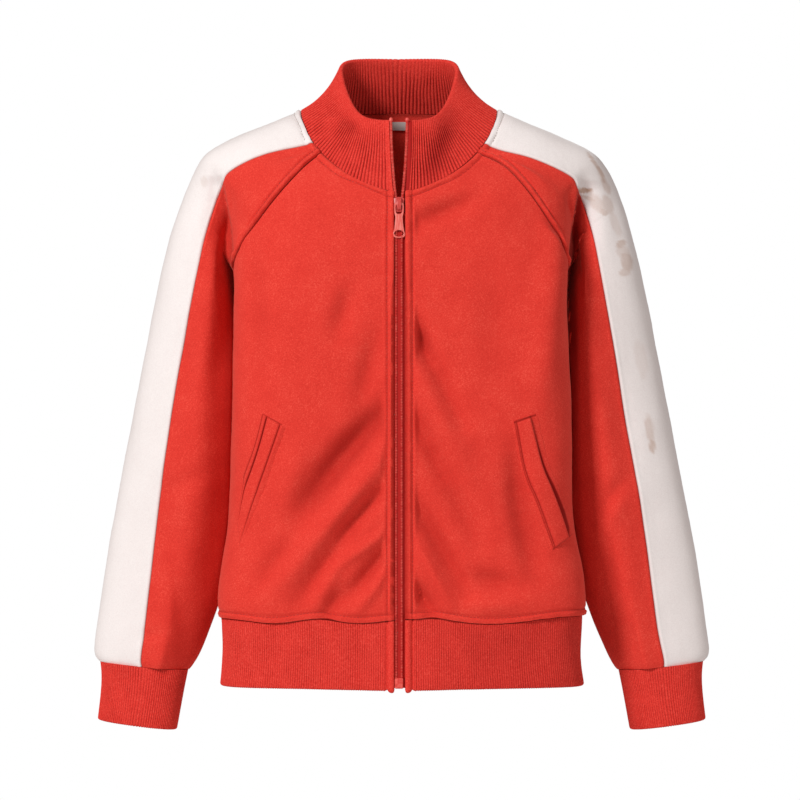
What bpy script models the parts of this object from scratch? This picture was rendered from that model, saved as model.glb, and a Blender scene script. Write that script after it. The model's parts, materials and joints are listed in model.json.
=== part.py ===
"""A child's zip-front bomber jacket in track style, standing open and hollow as it is worn.

Raglan sleeves with a pale stripe from neck to cuff, a stand collar, cuffs and hem band of rib
knit, two slanted welt pockets, and a coil zip whose slider is drawn down to the neck seam.
"""

import math

import bmesh
import bpy
import numpy as np

# Sizes are in millimetres and become metres when a mesh is made. X runs to the wearer's left,
# the front faces -Y and Z is up. The origin is at the middle of the neck opening, level with
# the points where the shoulders meet the collar. A "drop" is a distance below the origin, and
# a "turn" goes round the body from the middle of the front, over the wearer's left side.
MM = 0.001
RIGHT, LEFT = -1, 1
SIDE_NAMES = {RIGHT: "right", LEFT: "left"}

FLEECE = 2.0  # wall of the brushed sweatshirt cloth
RIB = 2.4  # wall of the rib-knit bands
SEAM = 0.3  # gap between two pieces that are sewn together
INNER_TRIM = 0.8  # how far the inner face of a wall stands back from a seam
CLEARANCE = 2.0  # gap between a sleeve and the body beside it
HALF_ZIP_GAP = 5.3  # from the middle of the zip to the turned edge of a front

# The body's level sections, from the back of the neck to the hem seam: how far the cloth
# reaches from the middle on the wearer's right and left, to the front and to the back. They are
# round at the shoulders. Below the chest the front half turns squarer: flat, with edges.
BODY_SQUARENESS = (2.4, 5.0)
SQUARER = (70.0, 190.0)  # drops between which the front changes from one to the other
BODY = (
    # drop, right, left, front, back
    (-6.0, 77.0, 77.0, 14.0, 61.0),
    (-2.0, 84.0, 84.0, 20.0, 63.0),
    (12.0, 112.0, 112.0, 32.0, 69.5),
    (30.0, 149.0, 150.0, 43.0, 76.5),
    (45.0, 170.0, 172.0, 52.3, 80.0),
    (62.0, 175.0, 178.0, 65.0, 83.0),
    (80.0, 169.0, 173.0, 75.3, 85.0),
    (107.0, 159.0, 163.0, 79.5, 87.0),
    (128.0, 153.5, 157.0, 81.5, 88.0),
    (150.0, 151.0, 154.0, 83.0, 89.0),
    (205.0, 151.0, 154.0, 85.0, 90.0),
    (266.0, 152.0, 157.0, 86.0, 90.0),
    (330.0, 153.5, 157.5, 85.5, 89.0),
    (389.0, 157.0, 161.0, 85.0, 90.0),
    (420.0, 162.0, 167.5, 86.0, 92.5),
    (447.0, 165.0, 170.0, 87.0, 94.5),
    (458.0, 164.5, 169.5, 86.5, 94.0),
    (465.0, 162.5, 167.5, 85.0, 92.0),
)
ARMPIT_DROP = 150.0
BODY_MIDDLE = 240.0  # where the columns of the body are evenly spaced
HEM_SEAM_DROP = 465.0
HEM = (
    (465.0, 162.0, 167.0, 84.5, 91.5),
    (490.0, 161.0, 166.0, 84.0, 90.5),
    (525.0, 163.5, 169.0, 85.0, 92.0),
)
HEM_DROP = HEM[-1][0]

# The neck seam: a ring that is level at the shoulders and dips to the middle of the front.
NECK_HALF_WIDTH = 90.0
NECK_DIP = 79.3
NECK_RISE = 4.0
NECK_SQUARENESS = 1.7
NECK_DEPTH_POWER = 0.85

# The sleeve's sections, from the neck seam to the cuff seam, on the wearer's right. Each gives
# the outermost line, the front edge of the stripe, and the front raglan seam, which runs on
# below the armpit as the underarm seam. "Swell" is how far forward the cloth comes between
# that seam and the stripe, and "lift" how much higher the back raglan seam lies.
ARMPIT_ROW = 7
SLEEVE_COLUMNS = (
    "outer_x outer_drop outer_y stripe_x stripe_drop stripe_y seam_x seam_drop swell_y lift"
).split()
SLEEVE = (
    (90.0, 0.0, 0.0, 77.0, 33.0, -40.0, 70.2, 42.5, -44.5, 44.6),
    (109.0, 8.0, 2.0, 93.0, 37.0, -42.0, 81.0, 51.0, -50.0, 37.0),
    (133.0, 18.0, 3.0, 117.0, 42.0, -44.0, 93.0, 63.0, -54.5, 29.0),
    (157.0, 28.0, 4.0, 140.0, 51.0, -43.0, 112.0, 85.0, -56.0, 21.0),
    (176.0, 39.0, 5.0, 156.0, 61.0, -39.0, 129.0, 107.0, -49.0, 13.0),
    (185.0, 50.0, 7.0, 160.5, 70.0, -35.0, 138.0, 118.0, -38.0, 9.0),
    (191.0, 62.0, 9.0, 166.0, 84.0, -31.0, 145.0, 129.0, -27.0, 5.0),
    (201.0, 86.0, 11.0, 173.5, 107.0, -29.0, 151.0, 150.0, -23.0, 0.0),
    (214.0, 126.0, 14.0, 181.5, 137.0, -29.0, 146.0, 180.0, -30.0, 0.0),
    (228.0, 190.0, 16.0, 194.0, 200.0, -28.0, 134.0, 236.0, -31.0, 0.0),
    (243.0, 266.0, 16.0, 207.0, 276.0, -26.0, 133.0, 298.0, -29.0, 0.0),
    (257.0, 340.0, 15.0, 218.0, 350.0, -23.0, 143.0, 362.0, -25.0, 0.0),
    (270.0, 415.0, 13.0, 226.5, 422.0, -20.0, 158.0, 428.0, -21.0, 0.0),
    (278.0, 470.0, 11.0, 232.5, 475.0, -19.0, 177.0, 484.0, -20.0, 0.0),
    (281.0, 498.0, 10.0, 236.0, 502.0, -18.5, 188.0, 508.0, -19.0, 0.0),
    (276.5, 507.0, 9.0, 235.5, 511.0, -17.0, 193.0, 515.0, -17.0, 0.0),
)
# What the wearer's left sleeve adds, since the jacket hangs a little to that side.
LEFT_COLUMNS = "outer_x stripe_x stripe_drop seam_x back_seam_x".split()
LEFT_SLEEVE = (
    (0.0, 0.0, 0.0, 0.0, 0.0),
    (0.0, 0.0, 3.0, 8.0, 0.0),
    (0.0, 0.0, 4.0, 11.0, 1.0),
    (-1.0, 0.0, 4.0, 10.0, 2.0),
    (2.0, 1.0, 3.0, 8.0, 3.0),
    (4.0, 1.0, 1.0, 7.0, 3.0),
    (5.0, 1.0, 0.0, 4.5, 3.0),
    (5.0, 1.0, 0.0, 3.0, 3.0),
    (4.0, 0.0, 0.0, 3.0, 3.0),
    (4.0, -1.0, 0.0, 3.0, 3.0),
    (4.0, -1.0, 0.0, 3.0, 3.0),
    (4.0, 1.0, 0.0, 4.0, 4.0),
    (5.0, 3.0, 0.0, 6.0, 6.0),
    (5.0, 4.0, 0.0, 8.0, 8.0),
    (5.0, 6.0, 0.0, 8.0, 8.0),
    (5.0, 7.0, 0.0, 8.0, 8.0),
)
BACK_STRIPE_REACH = 0.8  # the back half of the stripe, as a share of the front half
BACK_SWELL_REACH = 0.95
ROUNDING = (0.74, 0.36, 0.74)  # how far the stripe has turned outwards, half-way to the outermost line
# Where the guides of the sleeve meet the neck seam, as turns in degrees.
SLEEVE_NECK_TURNS = (54.0, 57.5, 61.5, 90.0, 116.0, 121.0, 126.0)

# The cuff's rings: outermost and innermost points, and how far to the front and the back.
CUFF = (
    # outer_x, outer_drop, inner_x, inner_drop, front, back
    (275.5, 507.4, 194.5, 515.4, -18.0, 35.0),
    (274.5, 528.0, 199.0, 538.0, -17.0, 34.0),
    (278.0, 562.0, 205.0, 571.5, -18.0, 33.0),
)
LEFT_CUFF_SHIFT = (5.0, 8.0)  # outer and inner points of the left cuff lie further out
CUFF_SQUARENESS = 2.2

# The collar's top edge, by turns in degrees from the middle of the front to that of the back.
COLLAR_TOP = (
    # turn, x, y, z
    (0.0, 0.0, -53.0, -13.5),
    (30.0, 29.0, -47.0, -10.5),
    (60.0, 44.0, -30.0, 4.0),
    (90.0, 53.0, -8.0, 27.0),
    (120.0, 54.5, 14.0, 44.0),
    (150.0, 37.0, 31.0, 50.5),
    (180.0, 0.0, 38.0, 51.0),
)
COLLAR_SEAT = 0.3  # the collar's foot stands this far above the neck seam
COLLAR_HOLLOW = 2.0  # how far the collar's wall curves in, half-way up

# The zip's two rows of coil part above the slider: distance of each from the middle.
COIL_PATH = (
    # drop, x
    (16.0, 7.3),
    (45.0, 6.3),
    (65.0, 4.9),
    (80.0, 3.5),
    (86.0, 2.9),
    (91.0, 2.6),
)
COIL_RADIUS = 1.5
COIL_DEPTH = 1.2  # centre of the open coil behind the outer face of the cloth
COLLAR_END_GAP = 2.7  # from the open coil to the end of the collar
CHAIN_WIDTH = 6.5
CHAIN_WALL = 1.9
CHAIN_DEPTH = 0.7
CHAIN_TOP = 92.5
TAPE_WALL = 0.8
TAPE_DEPTH = 3.0
TAPE_OUTER = 12.5
TAPE_COLLAR_LEAN = 0.35  # the tape bends back with the collar's curve
TAPE_CLOSED_EDGE = 0.5
BOX_SIZE = (7.6, 3.2, 9.5)
STOP_SIZE = (3.4, 2.4, 4.0)

# The slider, in its own frame: X across, Y out of the cloth towards -Y, Z up.
SLIDER_DROP = 91.5  # height of the eye that carries the pull tab
SLIDER_UP, SLIDER_DOWN = 6.5, 7.0
WING_WIDTH, WING_WALL = 9.2, 1.2
WING_FRONT, WING_REAR = 1.1, -4.4  # outer face of the front wing, inner face of the rear one
POST_SIZE = (1.8, 3.0)
CROWN_WIDTH, CROWN_HEIGHT = 4.0, 3.9
EYE_OUT, EYE_HALF_LENGTH, EYE_HALF_HEIGHT = 2.7, 1.6, 1.1
PULL_LENGTH = 29.5  # from the eye to the tip
PULL_WALL = 1.2
PULL_TIP_RADIUS = 5.6
PULL_NECK_HALF = 3.2
PULL_RING_HALF = 4.3
RING_HOLE = (2.9, 3.6)  # half width and half length
RING_SQUARENESS = 4.0
FINGER_HOLE = (3.6, 2.7)
PULL_BAR = 0.8  # half width of the bar that runs through the eye
PULL_TIP_LIFT = 1.5  # the tip's middle plane, out from the cloth

# The pocket welts, by the corners and the middle of each long edge: x and drop.
WELT_OUTER = ((120.5, 279.5), (137.5, 335.0), (150.5, 393.0))
WELT_INNER = ((106.0, 286.0), (124.0, 341.0), (142.8, 401.0))
WELT_GAP = 0.5  # between the front and the welt laid on it
LEFT_WELT_SHIFT = ((-3.0, 0.0), (-3.0, 2.0), (4.0, 3.0))

NECK_TAPE_TURNS = (130.0, 230.0)
NECK_TAPE_WIDTH = 9.0
NECK_TAPE_WALL = 1.0
STRIP_GAP = 1.1  # between the back and what is sewn inside it
LABEL_X = (-8.0, 15.0)
LABEL_DROP = (5.8, 12.5)

# Largest folds of the front: a soft trough from one end to the other.
FOLDS = (
    # x, drop, x, drop, half width, depth
    (-24.0, 300.0, -100.0, 368.0, 15.0, 3.5),
    (-18.0, 372.0, -100.0, 436.0, 14.0, 4.0),
    (24.0, 262.0, 52.0, 350.0, 16.0, 2.0),
    (34.0, 425.0, 96.0, 380.0, 15.0, 2.0),
)
FLAT_BY_ZIP = 22.0  # the cloth stays flat this near the zip
BACK_FOLDS = (
    (-95.0, 120.0, -30.0, 210.0, 18.0, 3.0),
    (98.0, 130.0, 38.0, 225.0, 18.0, 3.0),
    (-80.0, 430.0, 10.0, 395.0, 16.0, 2.5),
)

YOKE_STEPS = 9
YOKE_CLOSING = 1.6  # above 1, the yoke's rows lie closer together towards the armpit
BODY_STEPS = 11
FRONT_STEPS = 10
BACK_STEPS = 18
SLEEVE_STEPS = 12
PANEL_STEPS = 4
SLEEVE_COLUMN_PLACES = np.linspace(0, 6, 3 * PANEL_STEPS + 1)  # by the sleeve's seven guides
COLLAR_STEPS = 3
HEM_STEPS = (3, 40)
CUFF_STEPS = (3, 18)

COLOURS = {
    "fleece_red": (0.62, 0.045, 0.035, 0.92),
    "fleece_white": (0.86, 0.82, 0.79, 0.92),
    "rib_red": (0.58, 0.04, 0.032, 0.95),
    "zip_red": (0.6, 0.05, 0.04, 0.6),
    "painted_slider": (0.72, 0.13, 0.1, 0.4),
    "label_cloth": (0.6, 0.56, 0.52, 0.8),
}


def spline(knots, values, places):
    """A natural cubic curve through the values at the knots, read at the places."""
    knots, values = np.asarray(knots, float), np.asarray(values, float)
    places = np.asarray(places, float)
    steps, count = np.diff(knots), len(knots)
    flat = values.reshape(count, -1)
    slopes = np.diff(flat, axis=0) / steps[:, None]
    system, target = np.eye(count), np.zeros_like(flat)
    for i in range(1, count - 1):
        system[i, i - 1 : i + 2] = steps[i - 1], 2 * (steps[i - 1] + steps[i]), steps[i]
        target[i] = 6 * (slopes[i] - slopes[i - 1])
    bend = np.linalg.solve(system, target)
    at = places.ravel()
    i = np.clip(np.searchsorted(knots, at) - 1, 0, count - 2)
    step = steps[i][:, None]
    near = (knots[i + 1] - at)[:, None] / step
    far = 1 - near
    curve = near * flat[i] + far * flat[i + 1]
    curve += ((near**3 - near) * bend[i] + (far**3 - far) * bend[i + 1]) * step**2 / 6
    return curve.reshape(places.shape + values.shape[1:])


def signed_power(value, power):
    return np.sign(value) * np.abs(value) ** power


def squareness_at(drop, front):
    """How square the level sections are at a drop, on their front or their back half."""
    share = np.clip((drop - SQUARER[0]) / (SQUARER[1] - SQUARER[0]), 0, 1)
    round_one, square_one = BODY_SQUARENESS
    return round_one + np.where(front, (square_one - round_one) * share**2 * (3 - 2 * share), 0)


def section(turn, drop, table):
    """The point of a level section at each turn and drop."""
    table = np.asarray(table)
    right, left, front, back = np.moveaxis(spline(table[:, 0], table[:, 1:], drop), -1, 0)
    across, along = np.sin(turn), -np.cos(turn)
    squareness = squareness_at(drop, along < 0)
    x = np.where(across < 0, right, left) * signed_power(across, 2 / squareness)
    y = np.where(along < 0, front, back) * signed_power(along, 2 / squareness)
    return np.stack([x, y, -drop + 0 * x], axis=-1)


def fold_depth(points, folds):
    """How deep the soft troughs are at each point, seen from the front."""
    beside_zip = np.clip((np.abs(points[..., 0]) - FLAT_BY_ZIP) / FLAT_BY_ZIP, 0, 1)
    depth = np.zeros(points.shape[:-1])
    for x0, drop0, x1, drop1, half_width, deep in folds:
        start, run = np.array([x0, -drop0]), np.array([x1 - x0, drop0 - drop1])
        away = points[..., [0, 2]] - start
        along = np.clip(away @ run / (run @ run), 0, 1)
        distance = np.linalg.norm(away - along[..., None] * run, axis=-1)
        taper = np.sin(math.pi * (0.1 + 0.8 * along))
        depth += deep * taper * np.exp(-((distance / half_width) ** 2))
    return depth * beside_zip


def body(turn, drop):
    """The outer face of the body, with its folds."""
    points = section(turn, drop, BODY)
    front = points[..., 1] < 0
    points[..., 1] += np.where(front, fold_depth(points, FOLDS), -fold_depth(points, BACK_FOLDS))
    return points


def body_turn(x, drop, facing):
    """The turn at which the body's section reaches x, on its front or its back."""
    table = np.asarray(BODY)
    reach = spline(table[:, 0], table[:, 1:3], drop)
    reach = np.where(np.asarray(x) < 0, reach[..., 0], reach[..., 1])
    squareness = squareness_at(drop, facing == "front")
    share = np.clip(np.abs(x) / reach, 0, 1)
    turn = np.sign(x) * np.arcsin(share ** (squareness / 2))
    return turn if facing == "front" else math.pi - turn


def neck(turn):
    """The neck seam's point at each turn: on the body, or across the top of a sleeve."""
    across, along = np.sin(turn), -np.cos(turn)
    x = NECK_HALF_WIDTH * signed_power(across, 2 / NECK_SQUARENESS)
    height = np.where(along < 0, NECK_DIP, NECK_RISE)
    rise = height * signed_power(along, 2 / NECK_SQUARENESS)
    end = math.radians(SLEEVE_NECK_TURNS[0])
    end_x = np.sign(x) * NECK_HALF_WIDTH * math.sin(end) ** (2 / NECK_SQUARENESS)
    end_rise = height * np.sign(along) * math.cos(end) ** (2 / NECK_SQUARENESS)
    share = np.abs(along) / math.cos(end)
    y = np.zeros_like(x)
    for facing, here in (("front", along < 0), ("back", along >= 0)):
        on_body = section(body_turn(x, -rise, facing), -rise, BODY)[..., 1]
        at_end = section(body_turn(end_x, -end_rise, facing), -end_rise, BODY)[..., 1]
        on_sleeve = at_end * share**NECK_DEPTH_POWER
        y = np.where(here, np.where(share > 1, on_body, on_sleeve), y)
    return np.stack([x, y, rise], axis=-1)


def sleeve_rows(side, rows):
    """The sleeve table's columns, by name, at rows that may lie between its own."""
    columns = dict(zip(SLEEVE_COLUMNS, np.array(SLEEVE).T))
    columns["back_seam_x"] = columns["seam_x"]
    if side == LEFT:
        for name, added in zip(LEFT_COLUMNS, np.array(LEFT_SLEEVE).T):
            columns[name] = columns[name] + added
    knots = np.arange(len(SLEEVE))
    return {name: spline(knots, column, rows) for name, column in columns.items()}


def yoke_rows():
    """The sleeve table's rows at which the raglan seams have their corners."""
    shares = np.linspace(1, 0, YOKE_STEPS + 1) ** YOKE_CLOSING
    return ARMPIT_ROW * (1 - shares)


def raglan(side, rows, facing):
    """A raglan seam from the neck to the armpit, as turns and drops on the body."""
    at = sleeve_rows(side, rows)
    x, drop = at["seam_x"], at["seam_drop"]
    if facing == "back":
        x, drop = at["back_seam_x"], drop - at["lift"]
    return np.stack([body_turn(side * x, drop, facing), drop], axis=-1)


def sleeve_guides(side, rows):
    """Seven lines along the sleeve: front seam, swell, stripe, outermost, and the same behind."""
    at = sleeve_rows(side, rows)
    half_lift = at["lift"] / 2
    outer = np.stack([side * at["outer_x"], at["outer_y"], -at["outer_drop"]], axis=-1)
    stripe = np.stack([side * at["stripe_x"], at["stripe_y"], -at["stripe_drop"]], axis=-1)
    stripe_back = stripe + np.stack([0 * half_lift, 0 * half_lift, half_lift], axis=-1)
    behind = (1 + BACK_STRIPE_REACH) * (at["outer_y"] - at["stripe_y"])
    stripe_back[:, 1] = at["stripe_y"] + behind
    seams = []
    for facing in ("front", "back"):
        seam = body(*raglan(side, rows, facing).T)
        below = rows > ARMPIT_ROW
        under = np.stack([side * at["seam_x"], at["outer_y"], -at["seam_drop"]], axis=-1)
        under[:, 1] *= np.clip(rows - ARMPIT_ROW, 0, 1)
        seams.append(np.where(below[:, None], under, seam))
    swell = (seams[0] + stripe) / 2
    swell[:, 1] = at["swell_y"]
    swell_back = (seams[1] + stripe_back) / 2
    swell_back[:, 1] = at["outer_y"] + BACK_SWELL_REACH * (at["outer_y"] - at["swell_y"])
    return np.stack([seams[0], swell, stripe, outer, stripe_back, swell_back, seams[1]])


def round_the_arm(guides, rows, columns):
    """Curves through the guides, closed smoothly at the underarm seam once below the armpit."""
    closed = np.clip(rows - ARMPIT_ROW, 0, 1)[:, None]
    before = (1 - closed) * (2 * guides[0] - guides[1]) + closed * guides[-2]
    after = (1 - closed) * (2 * guides[-1] - guides[-2]) + closed * guides[1]
    round_front = guides[2] + ROUNDING * (guides[3] - guides[2])
    round_back = guides[4] + ROUNDING * (guides[3] - guides[4])
    lines = [before, *guides[:3], round_front, guides[3], round_back, *guides[4:], after]
    places = (-1, 0, 1, 2, 2.5, 3, 3.5, 4, 5, 6, 7)
    return spline(places, np.stack(lines), columns).swapaxes(0, 1)


def clear_of_body(points, side, clearance):
    """Moves points of a sleeve out to where they just clear the body's side."""
    drop = np.clip(-points[..., 2], ARMPIT_DROP, HEM_SEAM_DROP)
    reach = section(np.full(drop.shape, side * math.pi / 2), drop, BODY)
    front = section(np.zeros(drop.shape), drop, BODY)[..., 1]
    back = section(np.full(drop.shape, math.pi), drop, BODY)[..., 1]
    depth = np.where(points[..., 1] < 0, front, back)
    squareness = squareness_at(drop, points[..., 1] < 0)
    share = np.clip(points[..., 1] / depth, 0, 1) ** squareness
    least = np.abs(reach[..., 0]) * (1 - share) ** (1 / squareness) + clearance
    points[..., 0] = side * np.maximum(side * points[..., 0], least)
    return points


def sleeve(side, rows, columns):
    """The outer face of the sleeve: rows run down it, columns go round by its guides."""
    guides = sleeve_guides(side, rows)
    grid = round_the_arm(guides, rows, columns)
    grid[0] = neck(side * sleeve_neck_turns(columns))
    below = rows > ARMPIT_ROW
    clearance = CLEARANCE * np.clip(rows - ARMPIT_ROW, 0, 1)[below]
    grid[below] = clear_of_body(grid[below], side, clearance[:, None])
    return grid


def evenly(start, end, count, table, drop):
    """Turns that part a level section, between two turns, into equal lengths."""
    turns = np.linspace(start, end, 800)
    line = section(turns, np.full(len(turns), drop), table)
    length = np.concatenate([[0], np.cumsum(np.linalg.norm(np.diff(line, axis=0), axis=-1))])
    return np.interp(np.linspace(0, length[-1], count), length, turns)


def coons(edge_a, edge_b, top, bottom):
    """A grid whose four sides are the curves given, blended between them."""
    k = np.linspace(0, 1, len(edge_a))[:, None, None]
    spread = [(line[:, 0] - line[0, 0]) / (line[-1, 0] - line[0, 0]) for line in (top, bottom)]
    t = (1 - k) * spread[0][None, :, None] + k * spread[1][None, :, None]
    sides = (1 - t) * edge_a[:, None] + t * edge_b[:, None]
    ends = (1 - k) * top[None] + k * bottom[None]
    corner_a = (1 - k) * top[0] + k * bottom[0]
    corner_b = (1 - k) * top[-1] + k * bottom[-1]
    return sides + ends - (1 - t) * corner_a - t * corner_b


def torso_panel(edge_a, edge_b, neck_turns, facing):
    """A front or the back: a yoke between its seams, and level rows from there to the hem."""
    top_points = neck(neck_turns)
    top_drop = -top_points[:, 2]
    top = np.stack([body_turn(top_points[:, 0], top_drop, facing), top_drop], axis=-1)
    if facing == "back":
        top[:, 0] = np.where(top[:, 0] < 0, top[:, 0] + 2 * math.pi, top[:, 0])
    count = len(neck_turns)
    chest = evenly(edge_a[-1, 0], edge_b[-1, 0], count, BODY, BODY_MIDDLE)
    yoke = coons(edge_a, edge_b, top, np.stack([chest, np.full(count, ARMPIT_DROP)], axis=-1))
    points = body(yoke[..., 0], yoke[..., 1])
    drops = body_levels()[1:]
    turns = np.broadcast_to(chest, (BODY_STEPS, count))
    lower = body(turns, np.broadcast_to(drops[:, None], turns.shape))
    return np.concatenate([points, lower])


def front_neck_turns():
    """Turns of a front's columns where they meet the collar."""
    start = math.asin((HALF_ZIP_GAP / NECK_HALF_WIDTH) ** (NECK_SQUARENESS / 2))
    return np.linspace(start, math.radians(SLEEVE_NECK_TURNS[0]), FRONT_STEPS + 1)


def sleeve_neck_turns(columns):
    turns = np.radians(SLEEVE_NECK_TURNS)
    return spline(np.arange(len(turns)), turns, columns)


def back_neck_turns():
    end = math.radians(SLEEVE_NECK_TURNS[-1])
    return np.linspace(end, 2 * math.pi - end, BACK_STEPS + 1)


def neck_seam_turns():
    """Every panel's turns at the neck seam, so that the collar's foot follows their facets."""
    sleeve_turns = sleeve_neck_turns(SLEEVE_COLUMN_PLACES)
    left = np.concatenate([front_neck_turns()[:-1], sleeve_turns[:-1]])
    return np.concatenate([left, back_neck_turns(), 2 * math.pi - left[::-1]])


def front_panel(side):
    """A front, from the zip's edge to its raglan and side seams."""
    seam = raglan(side, yoke_rows(), "front")
    neck_turns = side * front_neck_turns()
    drops = np.linspace(-neck(neck_turns[0])[2], ARMPIT_DROP, YOKE_STEPS + 1)
    zip_edge = np.stack([body_turn(side * HALF_ZIP_GAP + 0 * drops, drops, "front"), drops], -1)
    panel = torso_panel(zip_edge, seam, neck_turns, "front")
    panel[:, 0, 0] = side * HALF_ZIP_GAP
    return panel if side == LEFT else panel[:, ::-1]


def back_panel():
    left, right = (raglan(side, yoke_rows(), "back") for side in (LEFT, RIGHT))
    return torso_panel(left, right, back_neck_turns(), "back")


def hem_band():
    drops = hem_levels()
    share = HALF_ZIP_GAP / HEM[0][1]
    start = math.asin(share ** (BODY_SQUARENESS[1] / 2))
    turns = evenly(start, 2 * math.pi - start, HEM_STEPS[1] + 1, HEM, HEM_SEAM_DROP)
    turns, drops = np.meshgrid(turns, drops)
    band = section(turns, drops, HEM)
    band[:, 0, 0], band[:, -1, 0] = HALF_ZIP_GAP, -HALF_ZIP_GAP
    return band


def cuff(side):
    """The cuff's rings, each leaning with the sleeve's end."""
    table = np.array(CUFF)
    if side == LEFT:
        table[:, 0] += LEFT_CUFF_SHIFT[0]
        table[:, 2] += LEFT_CUFF_SHIFT[1]
    places = np.linspace(0, len(CUFF) - 1, CUFF_STEPS[0] + 1)
    rings = spline(np.arange(len(CUFF)), table, places)
    turns = np.linspace(0, 2 * math.pi, CUFF_STEPS[1], endpoint=False)
    across = signed_power(np.cos(turns), 2 / CUFF_SQUARENESS)
    along = signed_power(np.sin(turns), 2 / CUFF_SQUARENESS)
    outer_x, outer_drop, inner_x, inner_drop, front, back = (c[:, None] for c in rings.T)
    x = (outer_x + inner_x) / 2 + side * across * (outer_x - inner_x) / 2
    drop = (outer_drop + inner_drop) / 2 + side * across * (outer_drop - inner_drop) / 2
    y = (front + back) / 2 + along * (back - front) / 2
    return np.stack([side * x, y, -drop], axis=-1)


def coil_x(drop):
    table = np.array(COIL_PATH)
    return spline(table[:, 0], table[:, 1], drop)


def collar():
    """The stand collar, from its top edge down to the neck seam, open at the zip."""
    table = np.array(COLLAR_TOP)
    turns = neck_seam_turns()
    half_turns = np.degrees(np.minimum(turns, 2 * math.pi - turns))
    top = spline(table[:, 0], table[:, 1:], half_turns)
    top[:, 0] *= np.where(turns > math.pi, RIGHT, LEFT)
    bottom = neck(turns)
    shares = np.linspace(0, 1, COLLAR_STEPS + 1)[:, None, None]
    grid = top + shares * (bottom - top)
    outward = bottom * (1, 1, 0)
    outward /= np.linalg.norm(outward, axis=-1, keepdims=True)
    grid -= COLLAR_HOLLOW * np.sin(math.pi * shares) * outward
    grid[-1, :, 2] += COLLAR_SEAT
    for column, side in ((0, LEFT), (-1, RIGHT)):
        end = grid[:, column]
        ends = coil_x(np.clip(-end[:, 2], COIL_PATH[0][0], COIL_PATH[-1][0])) + COLLAR_END_GAP
        end[:, 0] = side * np.maximum(ends, HALF_ZIP_GAP)
        end[-1, 0] = side * HALF_ZIP_GAP
    return grid


def inward_normals(grid, closed):
    """The direction from the outer face to the inner one at each point of a grid."""
    if closed:
        wrapped = np.concatenate([grid[:, -1:], grid, grid[:, :1]], axis=1)
        across = np.gradient(wrapped, axis=1)[:, 1:-1]
    else:
        across = np.gradient(grid, axis=1)
    down = np.gradient(grid, axis=0)
    normals = np.cross(across, down)
    return normals / np.linalg.norm(normals, axis=-1, keepdims=True)


def trimmed(grid, amount, closed):
    """The grid with its edges drawn in, so that it stops short of its seams."""
    result = grid.copy()
    ends = [(0, 1), (-1, -2)]
    for axis in (0,) if closed else (0, 1):
        source = result.swapaxes(0, axis).copy()
        target = result.swapaxes(0, axis)
        for edge, inside in ends:
            step = source[inside] - source[edge]
            length = np.linalg.norm(step, axis=-1, keepdims=True)
            target[edge] = source[edge] + step * amount / length
    return result


def new_object(name, mesh, material):
    obj = bpy.data.objects.new(name, mesh)
    jacket.objects.link(obj)
    mesh.materials.clear()
    mesh.materials.append(materials[material])
    return obj


def wall(name, outer, thickness, material, closed=False, lift=0.0, inward=None):
    """A sheet of cloth as a closed wall: an outer face, an inner face and the edges between."""
    if inward is None:
        inward = inward_normals(outer, closed)
    inner = trimmed(outer + inward * (thickness - lift), INNER_TRIM, closed)
    outer = trimmed(outer - inward * lift, SEAM / 2, closed)
    rows, columns = outer.shape[:2]
    vertices = np.concatenate([outer.reshape(-1, 3), inner.reshape(-1, 3)]) * MM
    layer = rows * columns

    def at(row, column):
        return row * columns + column % columns

    faces = []
    last = columns if closed else columns - 1
    for row in range(rows - 1):
        for column in range(last):
            quad = [at(row, column), at(row, column + 1), at(row + 1, column + 1), at(row + 1, column)]
            faces.append(quad)
            faces.append([layer + corner for corner in reversed(quad)])
    border = [(at(row, column), at(row, column + 1)) for row in (0, rows - 1) for column in range(last)]
    if not closed:
        border += [(at(row, c), at(row + 1, c)) for c in (0, columns - 1) for row in range(rows - 1)]
    faces += [[a, b, b + layer, a + layer] for a, b in border]
    mesh = bpy.data.meshes.new(name)
    mesh.from_pydata([tuple(v) for v in vertices], [], faces)
    fix_normals(mesh)
    return new_object(name, mesh, material)


def fix_normals(mesh):
    shape = bmesh.new()
    shape.from_mesh(mesh)
    bmesh.ops.recalc_face_normals(shape, faces=shape.faces)
    shape.to_mesh(mesh)
    shape.free()


def tube(name, path, radius, material):
    """A round cord along the path, with its ends closed."""
    curve = bpy.data.curves.new(name, "CURVE")
    curve.dimensions = "3D"
    curve.bevel_depth = radius * MM
    curve.bevel_resolution = 2
    curve.use_fill_caps = True
    line = curve.splines.new("POLY")
    line.points.add(len(path) - 1)
    for point, place in zip(line.points, path):
        point.co = (*(place * MM), 1.0)
    return new_object(name, mesh_of(curve), material)


def mesh_of(curve):
    """A curve's solid as a mesh whose caps are joined to its sides."""
    obj = bpy.data.objects.new(curve.name, curve)
    jacket.objects.link(obj)
    graph = bpy.context.evaluated_depsgraph_get()
    mesh = bpy.data.meshes.new_from_object(obj.evaluated_get(graph))
    bpy.data.objects.remove(obj)
    shape = bmesh.new()
    shape.from_mesh(mesh)
    bmesh.ops.remove_doubles(shape, verts=shape.verts, dist=0.001 * MM)
    bmesh.ops.recalc_face_normals(shape, faces=shape.faces)
    shape.to_mesh(mesh)
    shape.free()
    return mesh


def flat_shape(name, outlines, half_thickness):
    """A plate from closed outlines in its own X-Y plane, the later ones being holes."""
    curve = bpy.data.curves.new(name, "CURVE")
    curve.dimensions = "2D"
    curve.fill_mode = "BOTH"
    curve.extrude = half_thickness * MM
    for outline in outlines:
        line = curve.splines.new("POLY")
        line.points.add(len(outline) - 1)
        line.use_cyclic_u = True
        for point, (x, y) in zip(line.points, outline):
            point.co = (x * MM, y * MM, 0.0, 1.0)
    return mesh_of(curve)


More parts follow.
